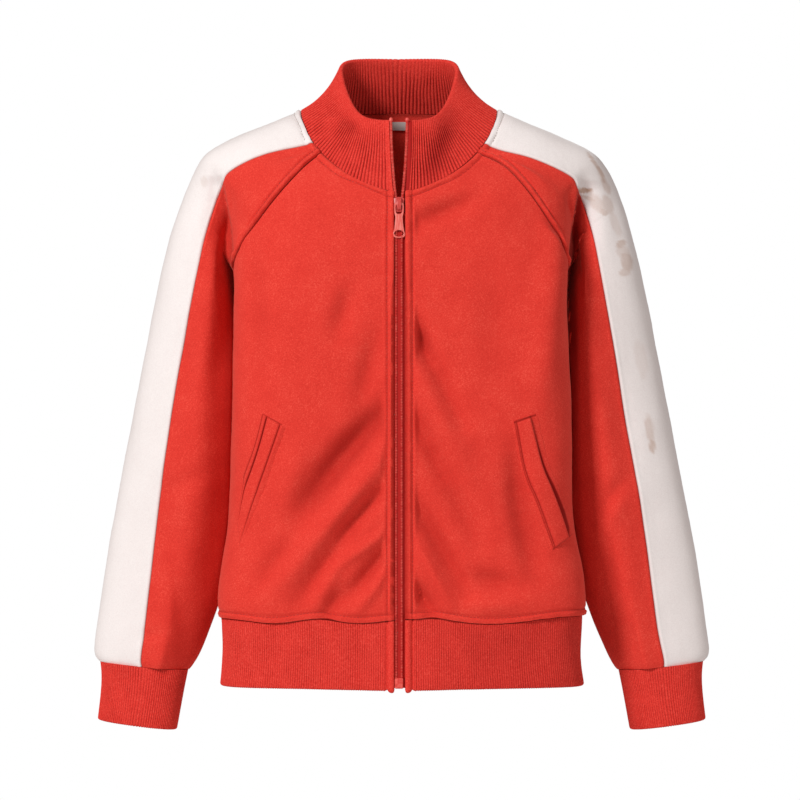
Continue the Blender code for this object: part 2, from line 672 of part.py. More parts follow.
def arc(centre_x, centre_y, radius_x, radius_y, start, end, steps):
    turns = np.radians(np.linspace(start, end, steps + 1))
    return [(centre_x + radius_x * math.cos(a), centre_y + radius_y * math.sin(a)) for a in turns]


def block(size, centre):
    """The mesh of a box in a frame of its own, in millimetres."""
    shape = bmesh.new()
    bmesh.ops.create_cube(shape, size=1.0)
    bmesh.ops.scale(shape, vec=[s * MM for s in size], verts=shape.verts)
    bmesh.ops.translate(shape, vec=[c * MM for c in centre], verts=shape.verts)
    mesh = bpy.data.meshes.new("block")
    shape.to_mesh(mesh)
    shape.free()
    return mesh


def united(name, base, additions, material):
    """One solid of the base mesh and the meshes that are added to it."""
    obj = new_object(name, base, material)
    for number, mesh in enumerate(additions):
        helper = bpy.data.objects.new(f"{name}_add_{number}", mesh)
        cutters.objects.link(helper)
        helper.hide_render = True
        helper.display_type = "WIRE"
        helper.parent = obj
        union = obj.modifiers.new(f"join_{number}", "BOOLEAN")
        union.operation = "UNION"
        union.object = helper
    return obj


def front_y(drop):
    """The outer face of the cloth beside the zip: collar, front and hem band in turn."""
    collar_end = collar()[:, 0]
    body_drops = np.linspace(NECK_DIP, HEM_SEAM_DROP - SEAM, 40)
    body_line = np.stack([section(np.zeros(40), body_drops, BODY)[:, 1], body_drops])
    hem_drops = np.linspace(HEM_SEAM_DROP, HEM_DROP, 6)
    hem_line = np.stack([section(np.zeros(6), hem_drops, HEM)[:, 1], hem_drops])
    collar_line = np.stack([collar_end[:-1, 1], -collar_end[:-1, 2]])
    ys, drops = np.concatenate([collar_line, body_line, hem_line], axis=1)
    return np.interp(drop, drops, ys)


def closed_zip_levels(bottom):
    """Levels of the closed zip: those of the rows of the front and the hem band beside it."""
    levels = [*np.linspace(CHAIN_TOP + 0.5, ARMPIT_DROP, 5)[:-1], *body_levels(), *hem_levels()[1:-1]]
    return np.array([*levels, bottom])


def body_levels():
    """Drops of the rows below the armpits."""
    return np.linspace(ARMPIT_DROP, HEM_SEAM_DROP, BODY_STEPS + 1)


def hem_levels():
    return np.linspace(HEM_SEAM_DROP, HEM_DROP, HEM_STEPS[0] + 1)


def zip_tape(side):
    """The woven tape behind the cloth's edge, from the collar's top to the hem."""
    top = COIL_PATH[0][0] - 1.5
    drops = np.concatenate([np.linspace(top, CHAIN_TOP - 2.5, 8), closed_zip_levels(HEM_DROP)])
    open_edge = coil_x(np.clip(drops, COIL_PATH[0][0], COIL_PATH[-1][0])) - 0.3
    edge = np.where(drops < CHAIN_TOP, open_edge, TAPE_CLOSED_EDGE)
    columns = np.linspace(0, 1, 3)
    x = edge[:, None] + columns * (TAPE_OUTER - edge)[:, None]
    lean = TAPE_COLLAR_LEAN * np.clip((NECK_DIP - drops) / COIL_PATH[0][0], 0, 1)[:, None]
    y = (front_y(drops) + TAPE_DEPTH)[:, None] + lean * (x - edge[:, None])
    z = np.broadcast_to(-drops[:, None], x.shape)
    grid = np.stack([side * x, y, z], axis=-1)
    return grid if side == LEFT else grid[:, ::-1]


def zip_chain():
    drops = closed_zip_levels(HEM_DROP - BOX_SIZE[2] - SEAM)
    y = front_y(drops) + CHAIN_DEPTH
    ends = [np.stack([0 * y + x, y, -drops], axis=-1) for x in (-CHAIN_WIDTH / 2, CHAIN_WIDTH / 2)]
    return np.stack(ends, axis=1)


def open_coil(side):
    drops = np.linspace(COIL_PATH[0][0], SLIDER_DROP - SLIDER_UP - SEAM, 12)
    return np.stack([side * coil_x(drops), front_y(drops) + COIL_DEPTH, -drops], axis=-1)


def welt(side):
    """The strip of a pocket opening, laid on the front."""
    outer, inner = np.array(WELT_OUTER), np.array(WELT_INNER)
    if side == LEFT:
        outer, inner = (edge + np.array(LEFT_WELT_SHIFT) for edge in (outer, inner))
    along = np.linspace(0, 2, 9)
    edges = [spline(np.arange(3), edge, along) for edge in (inner, outer)]
    across = np.linspace(0, 1, 4)[None, :, None]
    grid = edges[0][:, None] + across * (edges[1] - edges[0])[:, None]
    turns = body_turn(side * grid[..., 0], grid[..., 1], "front")
    points = body(turns, grid[..., 1])
    return points if side == LEFT else points[:, ::-1]


def back_strip(turns_or_x, drops):
    """A strip inside the back neck, on the inner face of the back."""
    x, drop = np.broadcast_arrays(turns_or_x, drops)
    points = section(body_turn(x, drop, "back"), drop, BODY)
    return points + inward_normals(points, closed=False) * (FLEECE + STRIP_GAP)


def make_materials():
    made = {}
    for name, (red, green, blue, roughness) in COLOURS.items():
        material = bpy.data.materials.new(name)
        material.use_nodes = True
        shader = material.node_tree.nodes["Principled BSDF"]
        shader.inputs["Base Color"].default_value = (red, green, blue, 1.0)
        shader.inputs["Roughness"].default_value = roughness
        shader.inputs["Metallic"].default_value = 0.0
        made[name] = material
    return made


def make_torso():
    for side, name in SIDE_NAMES.items():
        wall(f"front_{name}", front_panel(side), FLEECE, "fleece_red")
        wall(f"pocket_welt_{name}", welt(side), FLEECE, "fleece_red", lift=FLEECE + WELT_GAP)
    wall("back", back_panel(), FLEECE, "fleece_red")
    wall("hem_band", hem_band(), RIB, "rib_red")


def make_sleeves():
    yoke = yoke_rows()
    arm = np.linspace(ARMPIT_ROW, len(SLEEVE) - 1, SLEEVE_STEPS + 1)[1:]
    rows = np.concatenate([yoke, arm])
    names = (("front", "fleece_red"), ("stripe", "fleece_white"), ("back", "fleece_red"))
    panels = [(panel, i * PANEL_STEPS, material) for i, (panel, material) in enumerate(names)]
    for side, name in SIDE_NAMES.items():
        grid = sleeve(side, rows, SLEEVE_COLUMN_PLACES)
        inward = inward_normals(grid, closed=False) * side
        underarm = inward[YOKE_STEPS:, 0] + inward[YOKE_STEPS:, -1]
        underarm /= np.linalg.norm(underarm, axis=-1, keepdims=True)
        inward[YOKE_STEPS:, 0] = inward[YOKE_STEPS:, -1] = underarm
        for panel, start, material in panels:
            part = slice(start, start + PANEL_STEPS + 1)
            wall(f"sleeve_{panel}_{name}", grid[:, part], FLEECE, material, inward=inward[:, part])
        wall(f"cuff_{name}", cuff(side), RIB, "rib_red", closed=True)


def make_collar():
    wall("collar", collar(), RIB, "rib_red")
    turns = np.linspace(*np.radians(NECK_TAPE_TURNS), 13)
    seam = neck(turns)
    drops = -seam[:, 2] + np.linspace(0.3, NECK_TAPE_WIDTH, 3)[:, None]
    wall("neck_tape", back_strip(seam[:, 0], drops), NECK_TAPE_WALL, "fleece_red")
    label_x = np.linspace(LABEL_X[1], LABEL_X[0], 5)
    label_drops = np.linspace(*LABEL_DROP, 4)[:, None]
    wall("neck_label", back_strip(label_x, label_drops), NECK_TAPE_WALL, "label_cloth")


def make_zip():
    for side, name in SIDE_NAMES.items():
        wall(f"zip_tape_{name}", zip_tape(side), TAPE_WALL, "zip_red")
        tube(f"zip_coil_{name}", open_coil(side), COIL_RADIUS, "zip_red")
        top = open_coil(side)[0] + (0, -0.2, STOP_SIZE[2] / 2 + 2 * SEAM)
        new_object(f"zip_top_stop_{name}", block(STOP_SIZE, top), "zip_red")
    wall("zip_chain", zip_chain(), CHAIN_WALL, "zip_red")
    box_drop = HEM_DROP - BOX_SIZE[2] / 2
    box_y = front_y(box_drop) + TAPE_DEPTH - SEAM - BOX_SIZE[1] / 2
    box = new_object("zip_bottom_box", block(BOX_SIZE, (0, box_y, -box_drop)), "zip_red")
    bevel = box.modifiers.new("rounded", "BEVEL")
    bevel.width = 0.8 * MM
    bevel.segments = 2


def slider_frame():
    """Where the slider sits on the front, and how far the cloth there leans forward."""
    drops = np.array([SLIDER_DROP - SLIDER_UP, SLIDER_DROP + SLIDER_DOWN])
    lean = math.atan2(-np.diff(front_y(drops))[0], np.diff(drops)[0])
    return np.array([0.0, front_y(SLIDER_DROP), -SLIDER_DROP]), lean


def make_slider():
    """Two wings round the chain, a post between them, and the crown with its eye."""
    place, lean = slider_frame()
    length, middle = SLIDER_UP + SLIDER_DOWN, (SLIDER_UP - SLIDER_DOWN) / 2
    half_top, half_foot = WING_WIDTH / 2, WING_WIDTH / 2 - 0.9
    outline = [(-half_top, middle + length / 2 - 1.5)]
    outline += arc(0, middle + length / 2 - 1.5, half_top, 1.5, 180, 0, 8)[1:]
    outline += arc(0, middle - length / 2 + 1.0, half_foot, 1.0, 0, -180, 8)
    wings = []
    for out in (WING_FRONT - WING_WALL / 2, WING_REAR - WING_WALL / 2):
        wing = flat_shape("wing", [outline], WING_WALL / 2)
        stand_up(wing, out)
        wings.append(wing)
    post_depth = WING_FRONT - WING_REAR
    post_out = (WING_FRONT + WING_REAR) / 2
    post_z = SLIDER_UP - 0.8 - POST_SIZE[1] / 2
    post = block((POST_SIZE[0], post_depth, POST_SIZE[1]), (0, -post_out, post_z))
    eye = arc(0, EYE_OUT, EYE_HALF_LENGTH, EYE_HALF_HEIGHT, 0, 360, 12)[:-1]
    reach = SLIDER_UP - 0.8
    arch = [(-reach, WING_FRONT - 0.4)] + arc(0, WING_FRONT + 0.6, reach, CROWN_HEIGHT - 0.6, 180, 0, 12)
    arch.append((reach, WING_FRONT - 0.4))
    crown = flat_shape("crown", [arch, eye], CROWN_WIDTH / 2)
    turn_crown(crown)
    slider = united("zip_slider", wings[0], [wings[1], post, crown], "painted_slider")
    slider.location = place * MM
    slider.rotation_euler.x = -lean


def stand_up(mesh, out):
    """Turns a plate from its X-Y plane to X-Z and moves it out of the cloth."""
    for vertex in mesh.vertices:
        x, y, z = vertex.co
        vertex.co = (x, -out * MM - z, y)


def turn_crown(mesh):
    """Turns the crown's profile to stand along the slider: its X to Z, its Y out."""
    for vertex in mesh.vertices:
        x, y, z = vertex.co
        vertex.co = (z, -y, x)


def make_pull():
    """The flat pull tab: a ring through the slider's eye, and a tapering tab with an oval hole."""
    place, lean = slider_frame()
    tip_z = -PULL_LENGTH + PULL_TIP_RADIUS
    tip = arc(0, tip_z, PULL_TIP_RADIUS, PULL_TIP_RADIUS, 180, 360, 14)
    ring_foot = -2 * RING_HOLE[1] - PULL_BAR
    right_side = [(PULL_NECK_HALF, ring_foot - 1.2), (PULL_RING_HALF, ring_foot + 2.0)]
    top = arc(0, -1.6, PULL_RING_HALF, 1.6 + PULL_BAR, 0, 180, 10)
    left_side = [(-x, z) for x, z in reversed(right_side)]
    outline = tip + right_side + top + left_side
    ring_z = -PULL_BAR - RING_HOLE[1]
    turns = np.radians(np.arange(0, 360, 20))
    ring_x = RING_HOLE[0] * signed_power(np.cos(turns), 2 / RING_SQUARENESS)
    ring = list(zip(ring_x, ring_z + RING_HOLE[1] * signed_power(np.sin(turns), 2 / RING_SQUARENESS)))
    finger = arc(0, tip_z - 0.6, *FINGER_HOLE, 0, 360, 16)[:-1]
    mesh = flat_shape("zip_pull", [outline, ring, finger], PULL_WALL / 2)
    stand_up(mesh, 0.0)
    pull = new_object("zip_pull", mesh, "painted_slider")
    out = np.array([0.0, -EYE_OUT * math.cos(lean), EYE_OUT * math.sin(lean)])
    axis = place + out
    tip_drop = -axis[2] + PULL_LENGTH * math.cos(lean)
    tip_y = front_y(tip_drop) - PULL_TIP_LIFT
    pull.location = axis * MM
    pull.rotation_euler.x = -math.asin((axis[1] - tip_y) / PULL_LENGTH)


for old in list(bpy.data.objects):
    bpy.data.objects.remove(old, do_unlink=True)
jacket = bpy.data.collections.new("bomber_jacket")
cutters = bpy.data.collections.new("cutters")
for collection in (jacket, cutters):
    bpy.context.scene.collection.children.link(collection)
materials = make_materials()
make_torso()
make_sleeves()
make_collar()
make_zip()
make_slider()
make_pull()
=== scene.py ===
import json
import math

import bmesh
import bpy
import numpy as np
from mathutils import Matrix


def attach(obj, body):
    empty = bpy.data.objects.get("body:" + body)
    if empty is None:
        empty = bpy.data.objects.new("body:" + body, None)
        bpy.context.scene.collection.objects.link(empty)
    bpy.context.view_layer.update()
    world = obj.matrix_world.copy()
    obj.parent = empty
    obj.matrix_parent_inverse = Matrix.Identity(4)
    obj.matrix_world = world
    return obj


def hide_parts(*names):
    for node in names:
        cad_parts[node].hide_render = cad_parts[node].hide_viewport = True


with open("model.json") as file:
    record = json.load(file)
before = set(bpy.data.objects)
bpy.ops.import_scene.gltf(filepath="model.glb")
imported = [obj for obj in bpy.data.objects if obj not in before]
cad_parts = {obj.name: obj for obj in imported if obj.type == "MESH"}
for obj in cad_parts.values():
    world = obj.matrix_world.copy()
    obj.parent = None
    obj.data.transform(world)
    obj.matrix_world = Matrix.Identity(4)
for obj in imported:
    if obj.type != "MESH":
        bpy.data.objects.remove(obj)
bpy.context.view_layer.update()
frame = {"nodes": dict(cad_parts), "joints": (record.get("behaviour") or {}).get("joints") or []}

bpy.ops.object.select_all(action="DESELECT")

# ---------------------------------------------------------------------------------------------
# The fronts and the back: red brushed sweatshirt knit, cut in three pieces that meet the sleeves
# in slanted raglan seams. Each is one sheet of cloth, topstitched along its seams, and the fronts
# are turned in along the zip. X runs to the wearer's left, the front faces -Y.
MM = 0.001
RIGHT, LEFT = -1, 1
SIDES = {RIGHT: "right", LEFT: "left"}
FLEECE = 2.0  # wall of the cloth
ARMPIT, HEM_SEAM, HEM_EDGE = 150.0, 465.0, 525.0  # drops below the neck
ZIP_EDGE = {RIGHT: 4.0, LEFT: 5.4}  # from the middle to the turned edge of each front

BODY = (
    # drop, right, left, front, back: how far the cloth reaches from the middle
    (-6.0, 77.0, 77.0, 14.0, 61.0),
    (-2.0, 84.0, 84.0, 20.0, 63.0),
    (12.0, 112.0, 112.0, 32.0, 69.5),
    (30.0, 149.0, 150.0, 43.0, 76.5),
    (45.0, 170.0, 172.0, 52.3, 80.0),
    (62.0, 175.0, 178.0, 65.0, 83.0),
    (80.0, 169.0, 173.0, 75.3, 85.0),
    (107.0, 159.0, 163.0, 79.5, 87.0),
    (128.0, 153.5, 157.0, 81.5, 88.0),
    (150.0, 151.0, 154.0, 83.0, 89.0),
    (205.0, 151.0, 154.0, 85.0, 90.0),
    (266.0, 152.0, 157.0, 86.0, 90.0),
    (330.0, 153.5, 157.5, 85.5, 89.0),
    (389.0, 157.0, 161.0, 85.0, 90.0),
    (420.0, 162.0, 167.5, 86.0, 92.5),
    (447.0, 165.0, 170.0, 87.0, 94.5),
    (458.0, 164.5, 169.5, 86.5, 94.0),
    (465.0, 162.5, 167.5, 85.0, 92.0),
)
SQUARENESS = (2.4, 5.0)  # round at the shoulders, and below the chest a flat front with edges
NECK_HALF_WIDTH, NECK_DIP, NECK_RISE = 90.0, 79.3, 4.0
NECK_SQUARENESS, NECK_DEPTH_POWER = 1.7, 0.85
SLEEVE_NECK_TURNS = (54.0, 57.5, 61.5, 90.0, 116.0, 121.0, 126.0)

# The sleeve's lines, from the neck seam down to the cuff, on the wearer's right.
ARMPIT_ROW = 7
SLEEVE_COLUMNS = (
    "outer_x outer_drop outer_y stripe_x stripe_drop stripe_y seam_x seam_drop swell_y lift"
).split()
SLEEVE = (
    (90.0, 0.0, 0.0, 77.0, 33.0, -40.0, 70.2, 42.5, -44.5, 44.6),
    (109.0, 8.0, 2.0, 93.0, 37.0, -42.0, 81.0, 51.0, -50.0, 37.0),
    (133.0, 18.0, 3.0, 117.0, 42.0, -44.0, 93.0, 63.0, -54.5, 29.0),
    (157.0, 28.0, 4.0, 140.0, 51.0, -43.0, 112.0, 85.0, -56.0, 21.0),
    (176.0, 39.0, 5.0, 156.0, 61.0, -39.0, 129.0, 107.0, -49.0, 13.0),
    (185.0, 50.0, 7.0, 160.5, 70.0, -35.0, 138.0, 118.0, -38.0, 9.0),
    (191.0, 62.0, 9.0, 166.0, 84.0, -31.0, 145.0, 129.0, -27.0, 5.0),
    (201.0, 86.0, 11.0, 173.5, 107.0, -29.0, 151.0, 150.0, -23.0, 0.0),
    (214.0, 126.0, 14.0, 181.5, 137.0, -29.0, 146.0, 180.0, -30.0, 0.0),
    (228.0, 190.0, 16.0, 194.0, 200.0, -28.0, 134.0, 236.0, -31.0, 0.0),
    (243.0, 266.0, 16.0, 207.0, 276.0, -26.0, 133.0, 298.0, -29.0, 0.0),
    (257.0, 340.0, 15.0, 218.0, 350.0, -23.0, 143.0, 362.0, -25.0, 0.0),
    (270.0, 415.0, 13.0, 226.5, 422.0, -20.0, 158.0, 428.0, -21.0, 0.0),
    (278.0, 470.0, 11.0, 232.5, 475.0, -19.0, 177.0, 484.0, -20.0, 0.0),
    (281.0, 498.0, 10.0, 236.0, 502.0, -18.5, 188.0, 508.0, -19.0, 0.0),
    (276.5, 507.0, 9.0, 235.5, 511.0, -17.0, 193.0, 515.0, -17.0, 0.0),
)
LEFT_COLUMNS = "outer_x stripe_x stripe_drop seam_x back_seam_x".split()
LEFT_SLEEVE = (
    (0.0, 0.0, 0.0, 0.0, 0.0),
    (0.0, 0.0, 3.0, 8.0, 0.0),
    (0.0, 0.0, 4.0, 11.0, 1.0),
    (-1.0, 0.0, 4.0, 10.0, 2.0),
    (2.0, 1.0, 3.0, 8.0, 3.0),
    (4.0, 1.0, 1.0, 7.0, 3.0),
    (5.0, 1.0, 0.0, 4.5, 3.0),
    (5.0, 1.0, 0.0, 3.0, 3.0),
    (4.0, 0.0, 0.0, 3.0, 3.0),
    (4.0, -1.0, 0.0, 3.0, 3.0),
    (4.0, -1.0, 0.0, 3.0, 3.0),
    (4.0, 1.0, 0.0, 4.0, 4.0),
    (5.0, 3.0, 0.0, 6.0, 6.0),
    (5.0, 4.0, 0.0, 8.0, 8.0),
    (5.0, 6.0, 0.0, 8.0, 8.0),
    (5.0, 7.0, 0.0, 8.0, 8.0),
)

# Creases, seen from the front or the back: a soft trough, or a ridge where the depth is negative.
FRONT_CREASES = (
    # x, drop, x, drop, half width, depth
    (-10.0, 272.0, -60.0, 328.0, 12.0, 13.0),
    (-50.0, 318.0, -92.0, 372.0, 14.0, 11.0),
    (-12.0, 316.0, -78.0, 396.0, 10.0, -7.0),
    (-66.0, 385.0, -118.0, 438.0, 13.0, -7.0),
    (-10.0, 342.0, -52.0, 388.0, 7.5, 8.0),
    (-46.0, 384.0, -90.0, 448.0, 9.0, 6.5),
    (-9.0, 384.0, -56.0, 416.0, 6.0, -4.5),
    (-54.0, 412.0, -72.0, 446.0, 7.0, -4.0),
    (-8.0, 396.0, -44.0, 442.0, 7.5, 9.0),
    (-10.0, 420.0, -38.0, 456.0, 6.0, -4.0),
    (-50.0, 436.0, -66.0, 462.0, 8.0, 7.0),
    (-94.0, 394.0, -126.0, 434.0, 11.0, 6.5),
    (-90.0, 306.0, -103.0, 378.0, 12.0, -4.0),
    (-20.0, 210.0, -36.0, 272.0, 10.0, 6.0),
    (-44.0, 166.0, -56.0, 210.0, 9.0, 4.5),
    (-129.0, 128.0, -123.0, 244.0, 10.0, 3.0),
    (13.0, 190.0, 26.0, 230.0, 7.0, 8.0),
    (20.0, 214.0, 56.0, 288.0, 8.5, 6.5),
    (20.0, 244.0, 60.0, 334.0, 13.0, -4.5),
    (13.0, 272.0, 38.0, 332.0, 8.5, 6.5),
    (34.0, 318.0, 72.0, 394.0, 9.5, 5.5),
    (12.0, 352.0, 60.0, 440.0, 8.5, 8.5),
    (16.0, 396.0, 46.0, 450.0, 6.5, -5.0),
    (12.0, 428.0, 32.0, 460.0, 7.0, 9.0),
    (103.0, 312.0, 109.0, 366.0, 10.0, 6.5),
    (106.0, 352.0, 122.0, 424.0, 11.0, 8.0),
    (66.0, 424.0, 106.0, 433.0, 9.0, 6.0),
    (64.0, 450.0, 112.0, 450.0, 8.0, -3.5),
    (143.0, 84.0, 138.0, 176.0, 13.0, -6.0),
    (138.0, 150.0, 128.0, 270.0, 14.0, -6.0),
    (84.0, 150.0, 86.0, 250.0, 18.0, 3.0),
    (14.0, 109.0, 70.0, 84.0, 9.0, 6.5),
)
BACK_CREASES = (
    (-96.0, 112.0, -34.0, 214.0, 17.0, 3.5),
    (-122.0, 150.0, -70.0, 270.0, 15.0, 2.5),
    (100.0, 118.0, 40.0, 228.0, 18.0, 3.5),
    (124.0, 162.0, 84.0, 300.0, 14.0, 2.5),
    (-92.0, 438.0, 12.0, 392.0, 15.0, 3.0),
    (96.0, 430.0, 20.0, 405.0, 13.0, 2.5),
    (-30.0, 330.0, 36.0, 316.0, 20.0, 1.5),
)


def spline(knots, values, places):
    """A natural cubic curve through the values at the knots, read at the places."""
    knots, values = np.asarray(knots, float), np.asarray(values, float)
    places = np.asarray(places, float)
    steps, count = np.diff(knots), len(knots)
    flat = values.reshape(count, -1)
    slopes = np.diff(flat, axis=0) / steps[:, None]
    system, target = np.eye(count), np.zeros_like(flat)
    for i in range(1, count - 1):
        system[i, i - 1 : i + 2] = steps[i - 1], 2 * (steps[i - 1] + steps[i]), steps[i]
        target[i] = 6 * (slopes[i] - slopes[i - 1])
    bend = np.linalg.solve(system, target)
    at = places.ravel()
    i = np.clip(np.searchsorted(knots, at) - 1, 0, count - 2)
    step = steps[i][:, None]
    near = (knots[i + 1] - at)[:, None] / step
    far = 1 - near
    curve = near * flat[i] + far * flat[i + 1]
    curve += ((near**3 - near) * bend[i] + (far**3 - far) * bend[i + 1]) * step**2 / 6
    return curve.reshape(places.shape + values.shape[1:])


def signed_power(value, power):
    return np.sign(value) * np.abs(value) ** power


def smooth(low, high, value):
    t = np.clip((value - low) / (high - low), 0, 1)
    return t * t * (3 - 2 * t)


def squareness_at(drop, front):
    """How square the body's section is at a drop: the front half turns square below the chest."""
    return SQUARENESS[0] + np.where(front, (SQUARENESS[1] - SQUARENESS[0]) * smooth(70, 190, drop), 0)


def section(turn, drop, table):
    """A point of the level section at each turn, from the middle of the front, and drop."""
    table = np.asarray(table)
    right, left, front, back = np.moveaxis(spline(table[:, 0], table[:, 1:], drop), -1, 0)
    across, along = np.sin(turn), -np.cos(turn)
    squareness = squareness_at(drop, along < 0)
    x = np.where(across < 0, right, left) * signed_power(across, 2 / squareness)
    y = np.where(along < 0, front, back) * signed_power(along, 2 / squareness)
    return np.stack([x, y, -drop + 0 * x], axis=-1)


def body_turn(x, drop, facing):
    """The turn at which the body's section reaches x, on its front or its back."""
    table = np.asarray(BODY)
    reach = spline(table[:, 0], table[:, 1:3], drop)
    reach = np.where(np.asarray(x) < 0, reach[..., 0], reach[..., 1])
    squareness = squareness_at(drop, facing == "front")
    turn = np.sign(x) * np.arcsin(np.clip(np.abs(x) / reach, 0, 1) ** (squareness / 2))
    return turn if facing == "front" else math.pi - turn


def neck(turn):
    """The neck seam's point at each turn."""
    across, along = np.sin(turn), -np.cos(turn)
    x = NECK_HALF_WIDTH * signed_power(across, 2 / NECK_SQUARENESS)
    height = np.where(along < 0, NECK_DIP, NECK_RISE)
    rise = height * signed_power(along, 2 / NECK_SQUARENESS)
    end = math.radians(SLEEVE_NECK_TURNS[0])
    end_x = np.sign(x) * NECK_HALF_WIDTH * math.sin(end) ** (2 / NECK_SQUARENESS)
    end_rise = height * np.sign(along) * math.cos(end) ** (2 / NECK_SQUARENESS)
    share = np.abs(along) / math.cos(end)
    y = np.zeros_like(x)
    for facing, here in (("front", along < 0), ("back", along >= 0)):
        on_body = section(body_turn(x, -rise, facing), -rise, BODY)[..., 1]
        at_end = section(body_turn(end_x, -end_rise, facing), -end_rise, BODY)[..., 1]
        on_sleeve = at_end * share**NECK_DEPTH_POWER
        y = np.where(here, np.where(share > 1, on_body, on_sleeve), y)
    return np.stack([x, y, rise], axis=-1)


def sleeve_rows(side, rows):
    """The sleeve's lines, by name, at rows that may lie between those of its table."""
    columns = dict(zip(SLEEVE_COLUMNS, np.array(SLEEVE).T))
    columns["back_seam_x"] = columns["seam_x"]
    if side == LEFT:
        for name, added in zip(LEFT_COLUMNS, np.array(LEFT_SLEEVE).T):
            columns[name] = columns[name] + added
    knots = np.arange(len(SLEEVE))
    return {name: spline(knots, column, rows) for name, column in columns.items()}


def raglan(side, rows, facing):
    """A raglan seam from the neck to the armpit, as turns and drops on the body."""
    at = sleeve_rows(side, rows)
    x, drop = at["seam_x"], at["seam_drop"]
    if facing == "back":
        x, drop = at["back_seam_x"], drop - at["lift"]
    return np.stack([body_turn(side * x, drop, facing), drop], axis=-1)


def shares(count, close=0.0):
    """Numbers from 0 to 1, closer together at both ends, where the seams are."""
    even = np.linspace(0, 1, count)
    return even - close * np.sin(2 * math.pi * even)


def evenly(line, places, count, close=0.0):
    """Of the places along a line of points, those that part it into such shares of its length."""
    steps = np.linalg.norm(np.diff(line, axis=0), axis=-1)
    length = np.concatenate([[0], np.cumsum(steps)])
    return np.interp(length[-1] * shares(count, close), length, places)


def coons(edge_a, edge_b, top, bottom):
    """A grid whose four sides are the curves given, blended between them."""
    k = np.linspace(0, 1, len(edge_a))[:, None, None]
    spread = [(line[:, 0] - line[0, 0]) / (line[-1, 0] - line[0, 0]) for line in (top, bottom)]
    t = (1 - k) * spread[0][None, :, None] + k * spread[1][None, :, None]
    sides = (1 - t) * edge_a[:, None] + t * edge_b[:, None]
    ends = (1 - k) * top[None] + k * bottom[None]
    corner_a = (1 - k) * top[0] + k * bottom[0]
    corner_b = (1 - k) * top[-1] + k * bottom[-1]
    return sides + ends - (1 - t) * corner_a - t * corner_b


HEM_WAVE = (
    # x, how much lower the hem seam lies
    (-170.0, -1.0), (-135.0, 0.5), (-118.0, 2.2), (-95.0, 0.8), (-73.0, -1.6), (-51.0, 1.0),
    (-35.0, 2.2), (-10.0, 0.0), (14.0, -1.6), (40.0, -1.4), (60.0, 1.6), (88.0, 2.8),
    (106.0, 1.4), (128.0, -1.2), (160.0, -3.0), (172.0, -2.0),
)


def hem_wave(x):
    table = np.array(HEM_WAVE)
    return spline(table[:, 0], table[:, 1], np.clip(x, -170, 170))


CLOSE = 0.085  # how much closer together the columns lie at the seams
BODY_MIDDLE = 240.0  # the drop at which the body's columns are spaced out


def torso_panel(edge_a, edge_b, neck_turns, facing, rows_below):
    """A front or the back: a yoke between its seams, then level rows down to the hem seam."""
    top_points = neck(neck_turns)
    top = np.stack([body_turn(top_points[:, 0], -top_points[:, 2], facing), -top_points[:, 2]], -1)
    if facing == "back":
        top[:, 0] = np.where(top[:, 0] < 0, top[:, 0] + 2 * math.pi, top[:, 0])
    closer = SQUARENESS[1] / 2 if facing == "front" else 1.0
    dense = edge_a[-1, 0] + (edge_b[-1, 0] - edge_a[-1, 0]) * np.linspace(0, 1, 800) ** closer
    chest_line = section(dense, np.full(len(dense), BODY_MIDDLE), BODY)
    chest_turns = evenly(chest_line, dense, len(neck_turns), CLOSE)
    chest = np.stack([chest_turns, np.full(len(chest_turns), ARMPIT)], axis=-1)
    yoke = coons(edge_a, edge_b, top, chest)
    share = np.linspace(0, 1, rows_below + 1)[1:, None]
    hem_x = section(chest_turns, np.full(len(chest_turns), HEM_SEAM), BODY)[:, 0]
    drops = ARMPIT + share * (HEM_SEAM - ARMPIT) + share**6 * hem_wave(hem_x)
    turns = np.broadcast_to(chest_turns, drops.shape)
    lower = np.stack([turns, drops], axis=-1)
    grid = np.concatenate([yoke, lower])
    points = section(grid[..., 0], np.minimum(grid[..., 1], HEM_SEAM + 4), BODY)
    points[..., 2] = -grid[..., 1]
    return points


def inward_normals(grid, closed=False):
    """The direction through the cloth, from its outer face, at each point of a grid."""
    if closed:
        wrapped = np.concatenate([grid[:, -1:], grid, grid[:, :1]], axis=1)
        across = np.gradient(wrapped, axis=1)[:, 1:-1]
    else:
        across = np.gradient(grid, axis=1)
    normals = np.cross(across, np.gradient(grid, axis=0))
    return normals / np.maximum(np.linalg.norm(normals, axis=-1, keepdims=True), 1e-9)


def quads(index):
    """The faces of a grid of vertex numbers."""
    corners = (index[:-1, :-1], index[1:, :-1], index[1:, 1:], index[:-1, 1:])
    return np.stack(corners, axis=-1).reshape(-1, 4)


def closed_round(grid):
    """A grid with its first column again after its last."""
    return np.concatenate([grid, grid[:, :1]], axis=1)


def repeated(shape, step, count):
    """The faces of one small shape, for each of so many copies of its vertices."""
    return [[i + n * step for i in face] for n in range(count) for face in shape]


def crease_depth(points, creases):
    """How deep the creases are at each point, and how far each dies away at its ends."""
    depth = np.zeros(points.shape[:-1])
    for x0, drop0, x1, drop1, half_width, deep in creases:
        start, run = np.array([x0, -drop0]), np.array([x1 - x0, drop0 - drop1])
        away = points[..., [0, 2]] - start
        along = np.clip(away @ run / (run @ run), 0, 1)
        distance = np.linalg.norm(away - along[..., None] * run, axis=-1)
        taper = np.sin(math.pi * (0.12 + 0.76 * along))
        depth += deep * taper * np.exp(-((distance / half_width) ** 2))
    return depth


